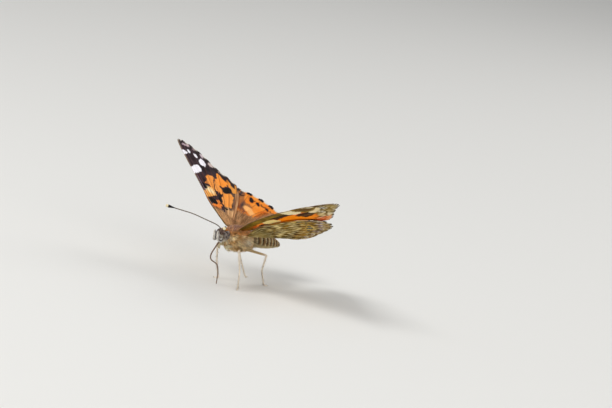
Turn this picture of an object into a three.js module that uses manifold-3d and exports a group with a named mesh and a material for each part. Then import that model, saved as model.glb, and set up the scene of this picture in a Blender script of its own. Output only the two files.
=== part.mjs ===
import * as THREE from 'three';
import { LoftGeometry } from 'three/addons/geometries/LoftGeometry.js';
import { mergeVertices } from 'three/addons/utils/BufferGeometryUtils.js';
import Module from 'manifold-3d';

// A painted lady butterfly, life size, standing on its four walking legs with
// its wings held half open and its tongue reaching down. Millimetres, +Z up.
//
// Places on the body are counted from the middle of the thorax: forward is
// towards the head, side is towards the animal's left, up is towards its back.
// Places on a wing are counted from its hinge: out is along the wing to its
// tip, fore is towards its leading edge, and height is above its flat plane.

const wasm = await Module();
wasm.setup();

// Driving dimensions
const GAP = 0.3;                       // between neighbouring pieces
const BODY_PITCH = THREE.MathUtils.degToRad( 5 );   // head raised
const STANDING_HEIGHT = 11.5;          // middle of the thorax above the floor

const THORAX = { middle: 0.1, front: 3.8, rear: - 3.6, reachFront: 4.3, reachRear: 5, halfWidth: 2.15, halfHeight: 2.4 };
const HEAD = { middle: 5.2, back: 4.1, face: 6.5, reach: 1.35, halfWidth: 1.1, halfHeight: 1.45 };
const EYE = { forward: 5.2, side: 1.15, up: 0.05, halfWidth: 0.65, halfLength: 1.05, halfHeight: 1.1 };
const ABDOMEN = { front: - 3.9, tip: - 15.8, rings: 8, frontRadius: 1.4, halfWidth: 2.05, tipRadius: 0.45, droop: 0.9, groove: 0.07 };

const FOREWING_LENGTH = 30;            // hinge to apex
const HINDWING_LENGTH = 18;            // hinge to the end of its leading edge
const MEMBRANE = 0.5;
const VEIN_RIDGE = 0.16;               // height on each face
const VEIN_HALF_WIDTH = 0.28;

const LEG_RADIUS = { femur: 0.36, tibia: 0.29, tarsus: 0.27 };
const FOOT_LENGTH = 1;                 // last joint of the foot, flat on the floor
const ANTENNA_RADIUS = 0.25;
const CLUB_RADIUS = 0.5;
const CLUB_LENGTH = 2.2;
const PALP_RADIUS = 0.34;
const TONGUE_RADIUS = 0.25;

// A place on the body, in the body's own axes: x to its left, y to its tail, z up
const onBody = ( forward, side, up ) => new THREE.Vector3( side, - forward, up );

// Solids

// Closes a geometry into one body: shared corners are merged, slivers with two
// corners alike are dropped, and the faces are turned to point out.
function closed( geometry ) {

	const bare = new THREE.BufferGeometry();
	bare.setAttribute( 'position', geometry.getAttribute( 'position' ).clone() );
	bare.setIndex( geometry.index );
	const merged = mergeVertices( bare, 1e-4 );
	const corners = merged.getAttribute( 'position' );
	const a = new THREE.Vector3();
	const b = new THREE.Vector3();
	const c = new THREE.Vector3();
	const faces = [];
	let volume = 0;

	for ( let i = 0; i < merged.index.count; i += 3 ) {

		const [ p, q, r ] = [ 0, 1, 2 ].map( ( k ) => merged.index.getX( i + k ) );
		if ( p === q || q === r || r === p ) continue;
		faces.push( p, q, r );
		a.fromBufferAttribute( corners, p );
		b.fromBufferAttribute( corners, q );
		c.fromBufferAttribute( corners, r );
		volume += a.dot( b.cross( c ) );

	}

	if ( volume < 0 ) faces.reverse();
	merged.setIndex( faces );
	return merged;

}

function toManifold( geometry ) {

	const body = closed( geometry );
	return new wasm.Manifold( new wasm.Mesh( {
		numProp: 3,
		vertProperties: new Float32Array( body.getAttribute( 'position' ).array ),
		triVerts: new Uint32Array( body.index.array ),
	} ) );

}

// Turns a manifold back into a geometry and keeps its largest closed surface
function fromManifold( manifold ) {

	const pieces = manifold.decompose();
	pieces.sort( ( p, q ) => q.volume() - p.volume() );
	const mesh = pieces[ 0 ].getMesh();
	const geometry = new THREE.BufferGeometry();
	geometry.setAttribute( 'position', new THREE.Float32BufferAttribute( mesh.vertProperties, 3 ) );
	geometry.setIndex( Array.from( mesh.triVerts ) );
	return geometry;

}

const fuse = ( geometries ) => geometries.map( toManifold ).reduce( ( whole, piece ) => whole.add( piece ) );

// Rings across the body's length, from its rear to its front: each entry is
// { forward, halfWidth, halfHeight, up }
function bodyLoft( rings, sides ) {

	const sections = rings.map( ( { forward, halfWidth, halfHeight, up = 0 } ) => {

		const section = [];
		for ( let i = 0; i < sides; i ++ ) {

			const turn = i / sides * Math.PI * 2;
			section.push( onBody( forward, halfWidth * Math.cos( turn ), up + halfHeight * Math.sin( turn ) ) );

		}

		return section;

	} );
	return new LoftGeometry( sections, { capStart: true, capEnd: true } );

}

// A round bar through centres with a radius at each, its rings square to its way
function bar( centres, radii, sides ) {

	const sections = centres.map( ( centre, i ) => {

		const before = centres[ Math.max( i - 1, 0 ) ];
		const after = centres[ Math.min( i + 1, centres.length - 1 ) ];
		const way = after.clone().sub( before ).normalize();
		const helper = Math.abs( way.x ) < 0.8 ? new THREE.Vector3( 1, 0, 0 ) : new THREE.Vector3( 0, 1, 0 );
		const first = helper.cross( way ).normalize();
		const second = way.clone().cross( first );
		const section = [];
		for ( let k = 0; k < sides; k ++ ) {

			const turn = k / sides * Math.PI * 2;
			section.push( centre.clone()
				.addScaledVector( first, radii[ i ] * Math.cos( turn ) )
				.addScaledVector( second, radii[ i ] * Math.sin( turn ) ) );

		}

		return section;

	} );
	return new LoftGeometry( sections, { capStart: true, capEnd: true } );

}

// A bar along a smooth curve, its radius a function of the way along
function curvedBar( points, radiusAt, steps, sides ) {

	const centres = new THREE.CatmullRomCurve3( points, false, 'centripetal' ).getSpacedPoints( steps );
	return bar( centres, centres.map( ( _, i ) => radiusAt( i / steps ) ), sides );

}

// Body

// How full the thorax is across at a place along it, 1 at its middle
function thoraxFullness( forward ) {

	const off = forward - THORAX.middle;
	return Math.sqrt( 1 - ( off / ( off > 0 ? THORAX.reachFront : THORAX.reachRear ) ) ** 2 );

}

function thorax() {

	const rings = [];
	const count = 12;
	for ( let i = 0; i <= count; i ++ ) {

		const forward = THREE.MathUtils.lerp( THORAX.rear, THORAX.front, i / count );
		const full = thoraxFullness( forward );
		rings.push( { forward, halfWidth: THORAX.halfWidth * full, halfHeight: THORAX.halfHeight * full } );

	}

	return bodyLoft( rings, 24 );

}

// The side of the thorax at a place along it and a height
function thoraxSide( forward, up ) {

	const full = thoraxFullness( forward );
	return THORAX.halfWidth * full * Math.sqrt( 1 - ( up / ( THORAX.halfHeight * full ) ) ** 2 );

}

// A place on the underside of the thorax, and the way straight out of it
function thoraxUnderside( forward, side ) {

	const full = thoraxFullness( forward );
	const [ width, height ] = [ THORAX.halfWidth * full, THORAX.halfHeight * full ];
	const up = - height * Math.sqrt( 1 - ( side / width ) ** 2 );
	const out = new THREE.Vector3( side / width ** 2, 0, up / height ** 2 ).normalize();
	return { place: onBody( forward, side, up ), out };

}

function headFullness( forward ) {

	return Math.sqrt( 1 - ( ( forward - HEAD.middle ) / HEAD.reach ) ** 2 );

}

function eyeball( side, grow ) {

	const ball = new THREE.SphereGeometry( 1, 16, 10 );
	ball.scale( EYE.halfWidth + grow, EYE.halfLength + grow, EYE.halfHeight + grow );
	const centre = onBody( EYE.forward, side * EYE.side, EYE.up );
	ball.translate( centre.x, centre.y, centre.z );
	return ball;

}

function head() {

	const rings = [];
	const count = 9;
	for ( let i = 0; i <= count; i ++ ) {

		const forward = THREE.MathUtils.lerp( HEAD.back, HEAD.face, i / count );
		const full = headFullness( forward );
		rings.push( { forward, halfWidth: HEAD.halfWidth * full, halfHeight: HEAD.halfHeight * full } );

	}

	const skull = toManifold( bodyLoft( rings, 20 ) );
	return fromManifold( skull.subtract( toManifold( eyeball( 1, GAP ) ) ).subtract( toManifold( eyeball( - 1, GAP ) ) ) );

}

// A place on the head in a given direction from its middle, and the way out of it
function headSurface( forward, side, up ) {

	const reach = Math.hypot( forward / HEAD.reach, side / HEAD.halfWidth, up / HEAD.halfHeight );
	const [ f, s, u ] = [ forward, side, up ].map( ( value ) => value / reach );
	const out = onBody( f / HEAD.reach ** 2, s / HEAD.halfWidth ** 2, u / HEAD.halfHeight ** 2 ).normalize();
	return { place: onBody( HEAD.middle + f, s, u ), out };

}

// The abdomen swells behind its waist and tapers to its tip, with a shallow
// groove between each ring and the next.
function abdomenRadius( t ) {

	const swell = ABDOMEN.frontRadius + ( ABDOMEN.halfWidth - ABDOMEN.frontRadius ) * Math.sin( Math.min( t / 0.34, 1 ) * Math.PI / 2 );
	const taper = t < 0.34 ? 1 : 1 - ( 1 - ABDOMEN.tipRadius / ABDOMEN.halfWidth ) * ( ( t - 0.34 ) / 0.66 ) ** 1.8;
	return swell * taper;

}

function abdomen() {

	const rings = [];
	const steps = [ 0, 0.2, 0.8 ];
	for ( let ring = 0; ring < ABDOMEN.rings; ring ++ ) {

		for ( const step of steps ) {

			const t = ( ring + step ) / ABDOMEN.rings;
			const radius = abdomenRadius( t ) * ( step === 0 && ring > 0 ? 1 - ABDOMEN.groove : 1 );
			rings.push( abdomenRing( t, radius ) );

		}

	}

	rings.push( abdomenRing( 1, ABDOMEN.tipRadius * 0.6 ) );
	return bodyLoft( rings.reverse(), 18 );

}

function abdomenRing( t, radius ) {

	return {
		forward: THREE.MathUtils.lerp( ABDOMEN.front, ABDOMEN.tip, t ),
		halfWidth: radius,
		halfHeight: radius * 0.95,
		up: - 0.25 - ABDOMEN.droop * t ** 2,
	};

}

// Head pieces

function antenna( tip ) {

	const side = Math.sign( tip.x );
	const { place, out } = headSurface( 0.45, side * 0.5, 1 );
	const root = place.clone().addScaledVector( out, GAP );
	const socket = place.clone().addScaledVector( out, GAP + 0.6 );
	const middle = socket.clone().lerp( tip, 0.5 );
	middle.z += 0.45;
	const length = root.distanceTo( tip );
	const clubStart = 1 - CLUB_LENGTH / length;
	const radiusAt = ( t ) => {

		if ( t < clubStart ) return ANTENNA_RADIUS;
		const along = ( t - clubStart ) / ( 1 - clubStart );
		return ANTENNA_RADIUS + ( CLUB_RADIUS - ANTENNA_RADIUS ) * Math.sin( Math.min( along * 1.25, 1 ) * Math.PI / 2 ) - ( along > 0.99 ? 0.2 : 0 );

	};

	return curvedBar( [ root, socket, middle, tip ], radiusAt, 26, 8 );

}

function palp( side ) {

	const { place, out } = headSurface( 0.8, side * 0.55, - 0.85 );
	const root = place.clone().addScaledVector( out, GAP );
	const bend = onBody( 7.4, side * 0.55, - 1.3 );
	const tip = onBody( 8.5, side * 0.52, 0.7 );
	const radiusAt = ( t ) => PALP_RADIUS * Math.min( 1, 0.8 + t, 0.35 + 2.2 * ( 1 - t ) );
	const start = place.clone().addScaledVector( out, GAP + 0.45 );
	return curvedBar( [ root, start, bend, tip ], radiusAt, 10, 8 );

}

// Legs, in the axes of the floor. Each is a hip, knee, ankle, heel and toe, with
// the last joint of the foot laid flat on the floor.

const body = new THREE.Group();
body.position.z = STANDING_HEIGHT;
body.rotation.x = - BODY_PITCH;
body.updateMatrixWorld( true );

const toFloorAxes = ( place ) => place.clone().applyMatrix4( body.matrixWorld );
const turnToFloorAxes = ( way ) => way.clone().transformDirection( body.matrixWorld );

function joint( place, radius ) {

	const ball = new THREE.SphereGeometry( radius, 7, 5 );
	ball.translate( place.x, place.y, place.z );
	return ball;

}

// A leg segment is a spindle, fullest a third of the way along
function segment( from, to, radius, sides = 7 ) {

	const places = [ 0, 0.33, 1 ].map( ( t ) => from.clone().lerp( to, t ) );
	return bar( places, [ radius * 0.8, radius, radius * 0.85 ], sides );

}

function walkingLeg( { hip, knee, ankle, heel, toeWay } ) {

	const { place, out } = thoraxUnderside( hip.forward, hip.side );
	const root = toFloorAxes( place.addScaledVector( out, GAP ) );
	const outWay = turnToFloorAxes( out );
	const coxa = root.clone().addScaledVector( outWay, 0.8 );
	const toe = heel.clone().addScaledVector( toeWay.clone().normalize(), FOOT_LENGTH );
	const tarsusRings = [ 0, 0.34, 0.4, 0.66, 0.72, 1 ];
	const tarsusRadii = [ 0.92, 1, 0.9, 1, 0.9, 1 ].map( ( share ) => share * LEG_RADIUS.tarsus );
	return onFloor( fuse( [
		bar( [ root, coxa ], [ LEG_RADIUS.femur, LEG_RADIUS.femur ], 8 ),
		joint( coxa, LEG_RADIUS.femur ),
		segment( coxa, knee, LEG_RADIUS.femur ),
		joint( knee, LEG_RADIUS.tibia ),
		segment( knee, ankle, LEG_RADIUS.tibia ),
		joint( ankle, LEG_RADIUS.tarsus ),
		bar( tarsusRings.map( ( t ) => ankle.clone().lerp( heel, t ) ), tarsusRadii, 6 ),
		joint( heel, LEG_RADIUS.tarsus ),
		bar( [ heel, toe ], [ LEG_RADIUS.tarsus, LEG_RADIUS.tarsus ], 8 ),
	] ) );

}

// Cuts away what would reach below the floor, which leaves a small flat sole
function onFloor( manifold ) {

	const below = new THREE.BoxGeometry( 80, 80, 4 );
	below.translate( 0, 0, - 2 );
	return fromManifold( manifold.subtract( toManifold( below ) ) );

}

// The brush-like forelegs are too short to walk on and are folded under the neck
function foldedForeleg( side ) {

	const { place, out } = thoraxUnderside( 2.7, side * 0.85 );
	const root = place.clone().addScaledVector( out, GAP + 0.1 );
	const hip = place.clone().addScaledVector( out, GAP + 0.5 );
	const knee = onBody( 4.7, side * 1.1, - 2.75 );
	const end = onBody( 3.4, side * 1.55, - 3.5 );
	return fromManifold( fuse( [
		bar( [ root, hip ], [ 0.3, 0.3 ], 7 ),
		joint( hip, 0.3 ),
		segment( hip, knee, 0.31 ),
		joint( knee, 0.27 ),
		segment( knee, end, 0.3 ),
	] ) );

}

// The tongue leaves the underside of the head, bows forward and comes down
const TONGUE_WAY = [ [ 6.99, - 3.46 ], [ 7.97, - 5.27 ], [ 7.34, - 6.29 ], [ 4.82, - 6.85 ], [ 3.7, - 8.6 ] ];
const TONGUE_TIP = new THREE.Vector3( 0, - 4.3, 0 );

function tongue() {

	const { place, out } = headSurface( 0.3, 0, - 1 );
	const root = place.clone().addScaledVector( out, GAP );
	const way = TONGUE_WAY.map( ( [ forward, up ] ) => onBody( forward, 0, up ) );
	const points = [ root, ...way ].map( toFloorAxes );
	const lastDrop = TONGUE_TIP.clone();
	lastDrop.z = - 0.3;
	points.push( lastDrop );
	return onFloor( toManifold( curvedBar( points, () => TONGUE_RADIUS, 40, 8 ) ) );

}

// Wings

// A wing's edge in three curves, all in [ out, fore ]. A vein leaves the root at
// one share of the way across and reaches the margin at another. It stands up
// from where it forks off, and up to where it fades.
const FOREWING = {
	length: FOREWING_LENGTH,
	bow: 0.72,
	fold: 0,
	scallop: 0.28,
	cell: 0.5,
	leading: [ [ 0, 0.6 ], [ 4, 1.9 ], [ 9, 2.7 ], [ 15, 2.7 ], [ 21, 2.3 ], [ 26, 1.6 ], [ 29, 0.8 ], [ 30.2, - 0.1 ] ],
	margin: [ [ 30.2, - 0.1 ], [ 30.2, - 1.6 ], [ 28.9, - 3.3 ], [ 26.4, - 5.2 ], [ 24.2, - 6.8 ], [ 22.2, - 8.4 ], [ 20.3, - 10.1 ], [ 18.5, - 11.6 ], [ 16.4, - 12.4 ] ],
	inner: [ [ 0, - 1.2 ], [ 4, - 4.2 ], [ 8, - 7.2 ], [ 12, - 9.9 ], [ 16.4, - 12.4 ] ],
	veins: [
		{ root: 0.1, end: 0.025, from: 0, to: 0.62 },
		{ root: 0.22, end: 0.075, from: 0, to: 1 },
		{ root: 0.36, end: 0.19, from: 0.5, to: 1 },
		{ root: 0.48, end: 0.33, from: 0.5, to: 1 },
		{ root: 0.62, end: 0.48, from: 0, to: 1 },
		{ root: 0.68, end: 0.64, from: 0.42, to: 1 },
		{ root: 0.74, end: 0.8, from: 0.28, to: 1 },
		{ root: 0.88, end: 0.95, from: 0, to: 1 },
	],
};

const HINDWING = {
	length: HINDWING_LENGTH,
	bow: 0.6,
	fold: 0.2,
	scallop: 0.4,
	cell: 0.45,
	leading: [ [ 0, 1 ], [ 3.7, 2.4 ], [ 9.3, 2.3 ], [ 14, 0.9 ], [ 16.4, - 0.9 ] ],
	margin: [ [ 16.4, - 0.9 ], [ 17.7, - 3.5 ], [ 17.9, - 6.1 ], [ 17.2, - 9.1 ], [ 15.6, - 12 ], [ 13.3, - 14.7 ], [ 10.5, - 16.9 ], [ 7.6, - 18.4 ], [ 5, - 18.9 ], [ 3.4, - 18 ] ],
	inner: [ [ 0, - 1 ], [ 1.3, - 5.6 ], [ 2.2, - 11.2 ], [ 2.6, - 15.8 ], [ 3.4, - 18 ] ],
	veins: [
		{ root: 0.08, end: 0.06, from: 0, to: 1 },
		{ root: 0.22, end: 0.19, from: 0, to: 1 },
		{ root: 0.34, end: 0.32, from: 0.45, to: 1 },
		{ root: 0.44, end: 0.44, from: 0.45, to: 1 },
		{ root: 0.54, end: 0.56, from: 0, to: 1 },
		{ root: 0.6, end: 0.68, from: 0.38, to: 1 },
		{ root: 0.66, end: 0.79, from: 0.25, to: 1 },
		{ root: 0.8, end: 0.895, from: 0, to: 1 },
		{ root: 0.92, end: 0.965, from: 0, to: 0.8 },
	],
};

const smooth = ( t ) => THREE.MathUtils.smoothstep( t, 0, 1 );
const edgeCurve = ( points ) => new THREE.SplineCurve( points.map( ( [ out, fore ] ) => new THREE.Vector2( out, fore ) ) );

// The middle of the membrane: across runs from the leading edge to the inner one,
// along from the root to the margin. The three edge curves are blended between,
// the wing bows up along its length, and a hindwing folds down beside the body.
function wingSurface( wing ) {

	const leading = edgeCurve( wing.leading );
	const margin = edgeCurve( wing.margin );
	const inner = edgeCurve( wing.inner );
	const apex = margin.getPoint( 0 );
	const tornus = margin.getPoint( 1 );
	const ends = [ 0, ...wing.veins.map( ( vein ) => vein.end ), 1 ];

	const scallop = ( across ) => {

		const next = ends.findIndex( ( end ) => end >= across );
		if ( next < 1 ) return 0;
		const share = ( across - ends[ next - 1 ] ) / ( ends[ next ] - ends[ next - 1 ] );
		return wing.scallop * Math.sin( share * Math.PI ) ** 2 * Math.min( 1, ( ends[ next ] - ends[ next - 1 ] ) / 0.1 );

	};

	return ( across, along ) => {

		const edge = margin.getPointAt( across );
		edge.multiplyScalar( 1 - scallop( across ) / edge.length() );
		const straight = apex.clone().lerp( tornus, across );
		const flat = leading.getPointAt( along ).lerp( inner.getPointAt( along ), across )
			.addScaledVector( edge.sub( straight ), along );
		const share = THREE.MathUtils.clamp( flat.x / wing.length, 0, 1.05 );
		const bowed = 4 * wing.bow * share * ( 1 - share );
		const folded = wing.fold * smooth( ( across - 0.74 ) / 0.26 ) * smooth( along / 0.3 );
		return new THREE.Vector3( flat.x, flat.y, bowed - folded );

	};

}

// Rows from the root to the margin, closer where the cross vein ends the cell
function wingRows( wing ) {

	const foot = 0.022;
	const rows = [ 0, 0.08, 0.2, 0.33, wing.cell - foot, wing.cell, wing.cell + foot ];
	for ( const along of [ 0.62, 0.73, 0.83, 0.92, 1 ] ) rows.push( along );
	return rows;

}

// Across each row, a vein takes three places, its two feet and its crest, and
// the membrane between two veins takes one
function wingColumns( wing, along, width ) {

	const crests = wing.veins.map( ( vein ) => vein.end + ( vein.root - vein.end ) * ( 1 - along ) ** 2 );
	const columns = [ { across: 0, ridge: 0 } ];
	crests.forEach( ( crest, i ) => {

		const vein = wing.veins[ i ];
		const before = i > 0 ? crests[ i - 1 ] : 0;
		const after = i < crests.length - 1 ? crests[ i + 1 ] : 1;
		const half = Math.min( VEIN_HALF_WIDTH / width, 0.3 * ( crest - before ), 0.3 * ( after - crest ) );
		const isStanding = along > 0.05 && along >= vein.from && along <= vein.to;
		if ( i > 0 ) columns.push( { across: ( crest + before ) / 2, ridge: 0 } );
		columns.push( { across: crest - half, ridge: 0 } );
		columns.push( { across: crest, ridge: isStanding ? VEIN_RIDGE : 0 } );
		columns.push( { across: crest + half, ridge: 0 } );

	} );
	columns.push( { across: 1, ridge: 0 } );
	return columns;

}

// The closed solid between an upper and a lower grid of places. Both faces are
// split into triangles alike, and a rim joins their edges.
function sheet( upper, lower ) {

	const [ rows, columns ] = [ upper.length, upper[ 0 ].length ];
	const corners = [ ...upper.flat(), ...lower.flat() ];
	const top = ( i, j ) => i * columns + j;
	const bottom = ( i, j ) => rows * columns + top( i, j );
	const faces = [];

	for ( let i = 0; i < rows - 1; i ++ ) {

		for ( let j = 0; j < columns - 1; j ++ ) {

			const square = [ [ i, j ], [ i, j + 1 ], [ i + 1, j + 1 ], [ i + 1, j ] ];
			const [ a, b, c, d ] = square.map( ( [ row, column ] ) => top( row, column ) );
			const [ e, f, g, h ] = square.map( ( [ row, column ] ) => bottom( row, column ) );
			faces.push( a, b, c, a, c, d, e, g, f, e, h, g );

		}

	}

	const wall = ( [ i, j ], [ k, l ] ) => {

		faces.push( top( i, j ), bottom( i, j ), bottom( k, l ), top( i, j ), bottom( k, l ), top( k, l ) );

	};

	for ( let j = 0; j < columns - 1; j ++ ) {

		wall( [ 0, j ], [ 0, j + 1 ] );
		wall( [ rows - 1, j + 1 ], [ rows - 1, j ] );

	}

	for ( let i = 0; i < rows - 1; i ++ ) {

		wall( [ i + 1, 0 ], [ i, 0 ] );
		wall( [ i, columns - 1 ], [ i + 1, columns - 1 ] );

	}

	const geometry = new THREE.BufferGeometry().setFromPoints( corners );
	geometry.setIndex( faces );
	return closed( geometry );

}

function wingSolid( wing, side ) {

	const surface = wingSurface( wing );
	const crestRow = wing.cell;
	const [ cellFront, cellRear ] = [ 1, 4 ];
	const upper = [];
	const lower = [];

	for ( const along of wingRows( wing ) ) {

		const width = surface( 0, along ).distanceTo( surface( 1, along ) );
		const columns = wingColumns( wing, along, width );
		const upperRow = [];
		const lowerRow = [];
		columns.forEach( ( { across, ridge }, index ) => {

			const vein = ( index - 2 ) / 4;
			const isCrossVein = along === crestRow && vein > cellFront && vein < cellRear;
			const half = MEMBRANE / 2 + ( isCrossVein ? VEIN_RIDGE : ridge );
			const step = 0.004;
			const place = surface( across, along );
			const acrossWay = surface( Math.min( across + step, 1 ), along ).sub( surface( Math.max( across - step, 0 ), along ) );
			const alongWay = surface( across, Math.min( along + step, 1 ) ).sub( surface( across, Math.max( along - step, 0 ) ) );
			const normal = alongWay.cross( acrossWay ).normalize();
			if ( normal.z < 0 ) normal.negate();
			upperRow.push( onWing( place.clone().addScaledVector( normal, half ), side ) );
			lowerRow.push( onWing( place.clone().addScaledVector( normal, - half ), side ) );

		} );
		upper.push( upperRow );
		lower.push( lowerRow );

	}

	return sheet( upper, lower );

}

// Wing axes to the axes of its hinge: out is to the animal's side, fore is -y
const onWing = ( place, side ) => new THREE.Vector3( side * place.x, - place.y, place.z );

// Where each wing is hinged and how it is held, in degrees. raise lifts it from
// flat, sweep turns its tip forward, and pitch lifts its trailing edge.
const HINGES = {
	fore: { forward: 1.5, ends: [ 0.6, - 1.2 ], up: 1.7 },
	hind: { forward: - 1.5, ends: [ 1, - 1 ], up: 0.6 },
};
const HELD = {
	forewing_left: { wing: FOREWING, hinge: HINGES.fore, side: 1, raise: 26, sweep: 5.4, pitch: - 1.5 },
	forewing_right: { wing: FOREWING, hinge: HINGES.fore, side: - 1, raise: 30.4, sweep: - 9.3, pitch: - 0.4 },
	hindwing_left: { wing: HINDWING, hinge: HINGES.hind, side: 1, raise: 26, sweep: - 4, pitch: 0 },
	hindwing_right: { wing: HINDWING, hinge: HINGES.hind, side: - 1, raise: 26.2, sweep: - 3.1, pitch: 7 },
};

function hingedWing( { wing, hinge, side, raise, sweep, pitch } ) {

	const mesh = new THREE.Mesh( wingSolid( wing, side ) );
	const [ lift, turn, tilt ] = [ raise, sweep, pitch ].map( THREE.MathUtils.degToRad );
	const needs = hinge.ends.map( ( end ) => thoraxSide( hinge.forward + end, hinge.up ) + end * Math.sin( turn ) );
	mesh.position.copy( onBody( hinge.forward, side * ( Math.max( ...needs ) + GAP ), hinge.up ) );
	mesh.rotation.set( tilt, - side * lift, - side * turn, 'YZX' );
	return mesh;

}

// Materials

const finish = ( color, roughness ) => new THREE.MeshStandardMaterial( { color, roughness, metalness: 0 } );
const FINISHES = {
	thoraxFur: finish( 0x8a6a4a, 0.9 ),
	abdomenFur: finish( 0xb59a6c, 0.9 ),
	headFur: finish( 0x7a6248, 0.9 ),
	eye: finish( 0x6b6a55, 0.25 ),
	antenna: finish( 0x4a4038, 0.6 ),
	palp: finish( 0xcfc4ae, 0.85 ),
	tongue: finish( 0x6a4526, 0.4 ),
	leg: finish( 0xe2d9c3, 0.7 ),
	forewing: finish( 0xd9772a, 0.8 ),
	hindwing: finish( 0xc98a4e, 0.8 ),
};

function add( group, name, piece, material ) {

	const mesh = piece.isMesh ? piece : new THREE.Mesh( piece );
	mesh.name = name;
	mesh.material = material;
	group.add( mesh );

}

add( body, 'thorax', closed( thorax() ), FINISHES.thoraxFur );
add( body, 'abdomen', closed( abdomen() ), FINISHES.abdomenFur );
add( body, 'head', head(), FINISHES.headFur );
add( body, 'eye_left', closed( eyeball( 1, 0 ) ), FINISHES.eye );
add( body, 'eye_right', closed( eyeball( - 1, 0 ) ), FINISHES.eye );
add( body, 'antenna_left', closed( antenna( onBody( 16.6, 9.4, 3.1 ) ) ), FINISHES.antenna );
add( body, 'antenna_right', closed( antenna( onBody( 16.5, - 9.2, 3.7 ) ) ), FINISHES.antenna );
add( body, 'palp_left', closed( palp( 1 ) ), FINISHES.palp );
add( body, 'palp_right', closed( palp( - 1 ) ), FINISHES.palp );
add( body, 'foreleg_left', foldedForeleg( 1 ), FINISHES.leg );
add( body, 'foreleg_right', foldedForeleg( - 1 ), FINISHES.leg );

for ( const [ name, held ] of Object.entries( HELD ) ) {

	add( body, name, hingedWing( held ), name.startsWith( 'fore' ) ? FINISHES.forewing : FINISHES.hindwing );

}

// The stance: knee, ankle and heel are [ x, y ] from the middle of the thorax
// and a height above the floor, the toe points the way given
const HEEL_HEIGHT = 0.2;
const STANCE = {
	midleg_left: { hip: [ - 0.3, 1.2 ], knee: [ 4.6, - 4, 9.2 ], ankle: [ 5.2, - 3.1, 4.6 ], heel: [ 4.95, - 2.3 ], toe: [ 0.4, - 0.9 ] },
	midleg_right: { hip: [ - 0.3, - 1.2 ], knee: [ - 6.1, 0.7, 8.1 ], ankle: [ - 5.2, 0.5, 4.05 ], heel: [ - 4.4, 1.2 ], toe: [ - 0.8, - 0.5 ] },
	hindleg_left: { hip: [ - 2.1, 1.1 ], knee: [ 4.55, 6.2, 7.85 ], ankle: [ 3.4, 6.95, 3.9 ], heel: [ 3.1, 9 ], toe: [ 0.4, 0.9 ] },
	hindleg_right: { hip: [ - 2.1, - 1.1 ], knee: [ - 4.4, 6, 8.1 ], ankle: [ - 4.6, 8.4, 4.1 ], heel: [ - 4, 10.4 ], toe: [ - 0.3, 1 ] },
};

const standing = new THREE.Group();
for ( const [ name, { hip, knee, ankle, heel, toe } ] of Object.entries( STANCE ) ) {

	const leg = walkingLeg( {
		hip: { forward: hip[ 0 ], side: hip[ 1 ] },
		knee: new THREE.Vector3( ...knee ),
		ankle: new THREE.Vector3( ...ankle ),
		heel: new THREE.Vector3( ...heel, HEEL_HEIGHT ),
		toeWay: new THREE.Vector3( ...toe, 0 ),
	} );
	add( standing, name, leg, FINISHES.leg );

}

add( standing, 'proboscis', tongue(), FINISHES.tongue );

// The whole animal, moved so that the middle of its outline is over the origin
const butterfly = new THREE.Group();
butterfly.name = 'painted_lady_butterfly';
butterfly.add( body, standing );
butterfly.updateMatrixWorld( true );
const middle = new THREE.Box3().setFromObject( butterfly, true ).getCenter( new THREE.Vector3() );
butterfly.position.set( - middle.x, - middle.y, 0 );

export default butterfly;
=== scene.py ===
import math

import bpy
import numpy as np
from mathutils import Matrix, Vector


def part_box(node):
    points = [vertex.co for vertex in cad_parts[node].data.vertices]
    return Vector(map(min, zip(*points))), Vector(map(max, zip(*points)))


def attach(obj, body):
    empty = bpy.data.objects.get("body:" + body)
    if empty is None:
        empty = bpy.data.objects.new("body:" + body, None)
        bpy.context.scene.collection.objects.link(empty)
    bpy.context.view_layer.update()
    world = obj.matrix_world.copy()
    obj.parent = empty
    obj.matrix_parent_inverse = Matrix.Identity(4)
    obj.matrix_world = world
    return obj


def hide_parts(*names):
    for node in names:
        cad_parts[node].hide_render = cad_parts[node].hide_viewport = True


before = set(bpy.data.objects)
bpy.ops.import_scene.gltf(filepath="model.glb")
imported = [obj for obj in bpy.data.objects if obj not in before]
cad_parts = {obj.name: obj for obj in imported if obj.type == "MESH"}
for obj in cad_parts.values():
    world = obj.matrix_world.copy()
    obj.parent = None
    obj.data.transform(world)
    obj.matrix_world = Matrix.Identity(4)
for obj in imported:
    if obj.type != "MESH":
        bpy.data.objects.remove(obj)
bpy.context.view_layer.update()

# Camera
# It looks at the animal from its left front, a little above the level of its back, as in the
# photo. Sizes below are in millimetres, and places on the body are counted from the middle of
# the thorax: forward to the head, side to the animal's left, up to its back.
MM = 0.001
BODY_PITCH = math.radians(5)
BODY_AXES = np.array([[0, -math.cos(BODY_PITCH), math.sin(BODY_PITCH)], [1, 0, 0],
                      [0, math.sin(BODY_PITCH), math.cos(BODY_PITCH)]])
EYES_FROM_THORAX = np.array([5.2, 0, 0.05])
eye_corners = np.array([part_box(node) for node in ("eye_left", "eye_right")])
thorax_middle = eye_corners.mean(axis=(0, 1)) / MM - EYES_FROM_THORAX @ BODY_AXES


def on_body(forward, side, up):
    """Places in the row frame, in mm, of places on the body."""
    places = np.stack(np.broadcast_arrays(forward, side, up), axis=-1)
    return places @ BODY_AXES + thorax_middle


# Round from straight before the animal towards its left, up from level, and tipped anticlockwise
AROUND, RAISED, TIPPED = np.radians([39.9, 10.72, 10.69])
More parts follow.
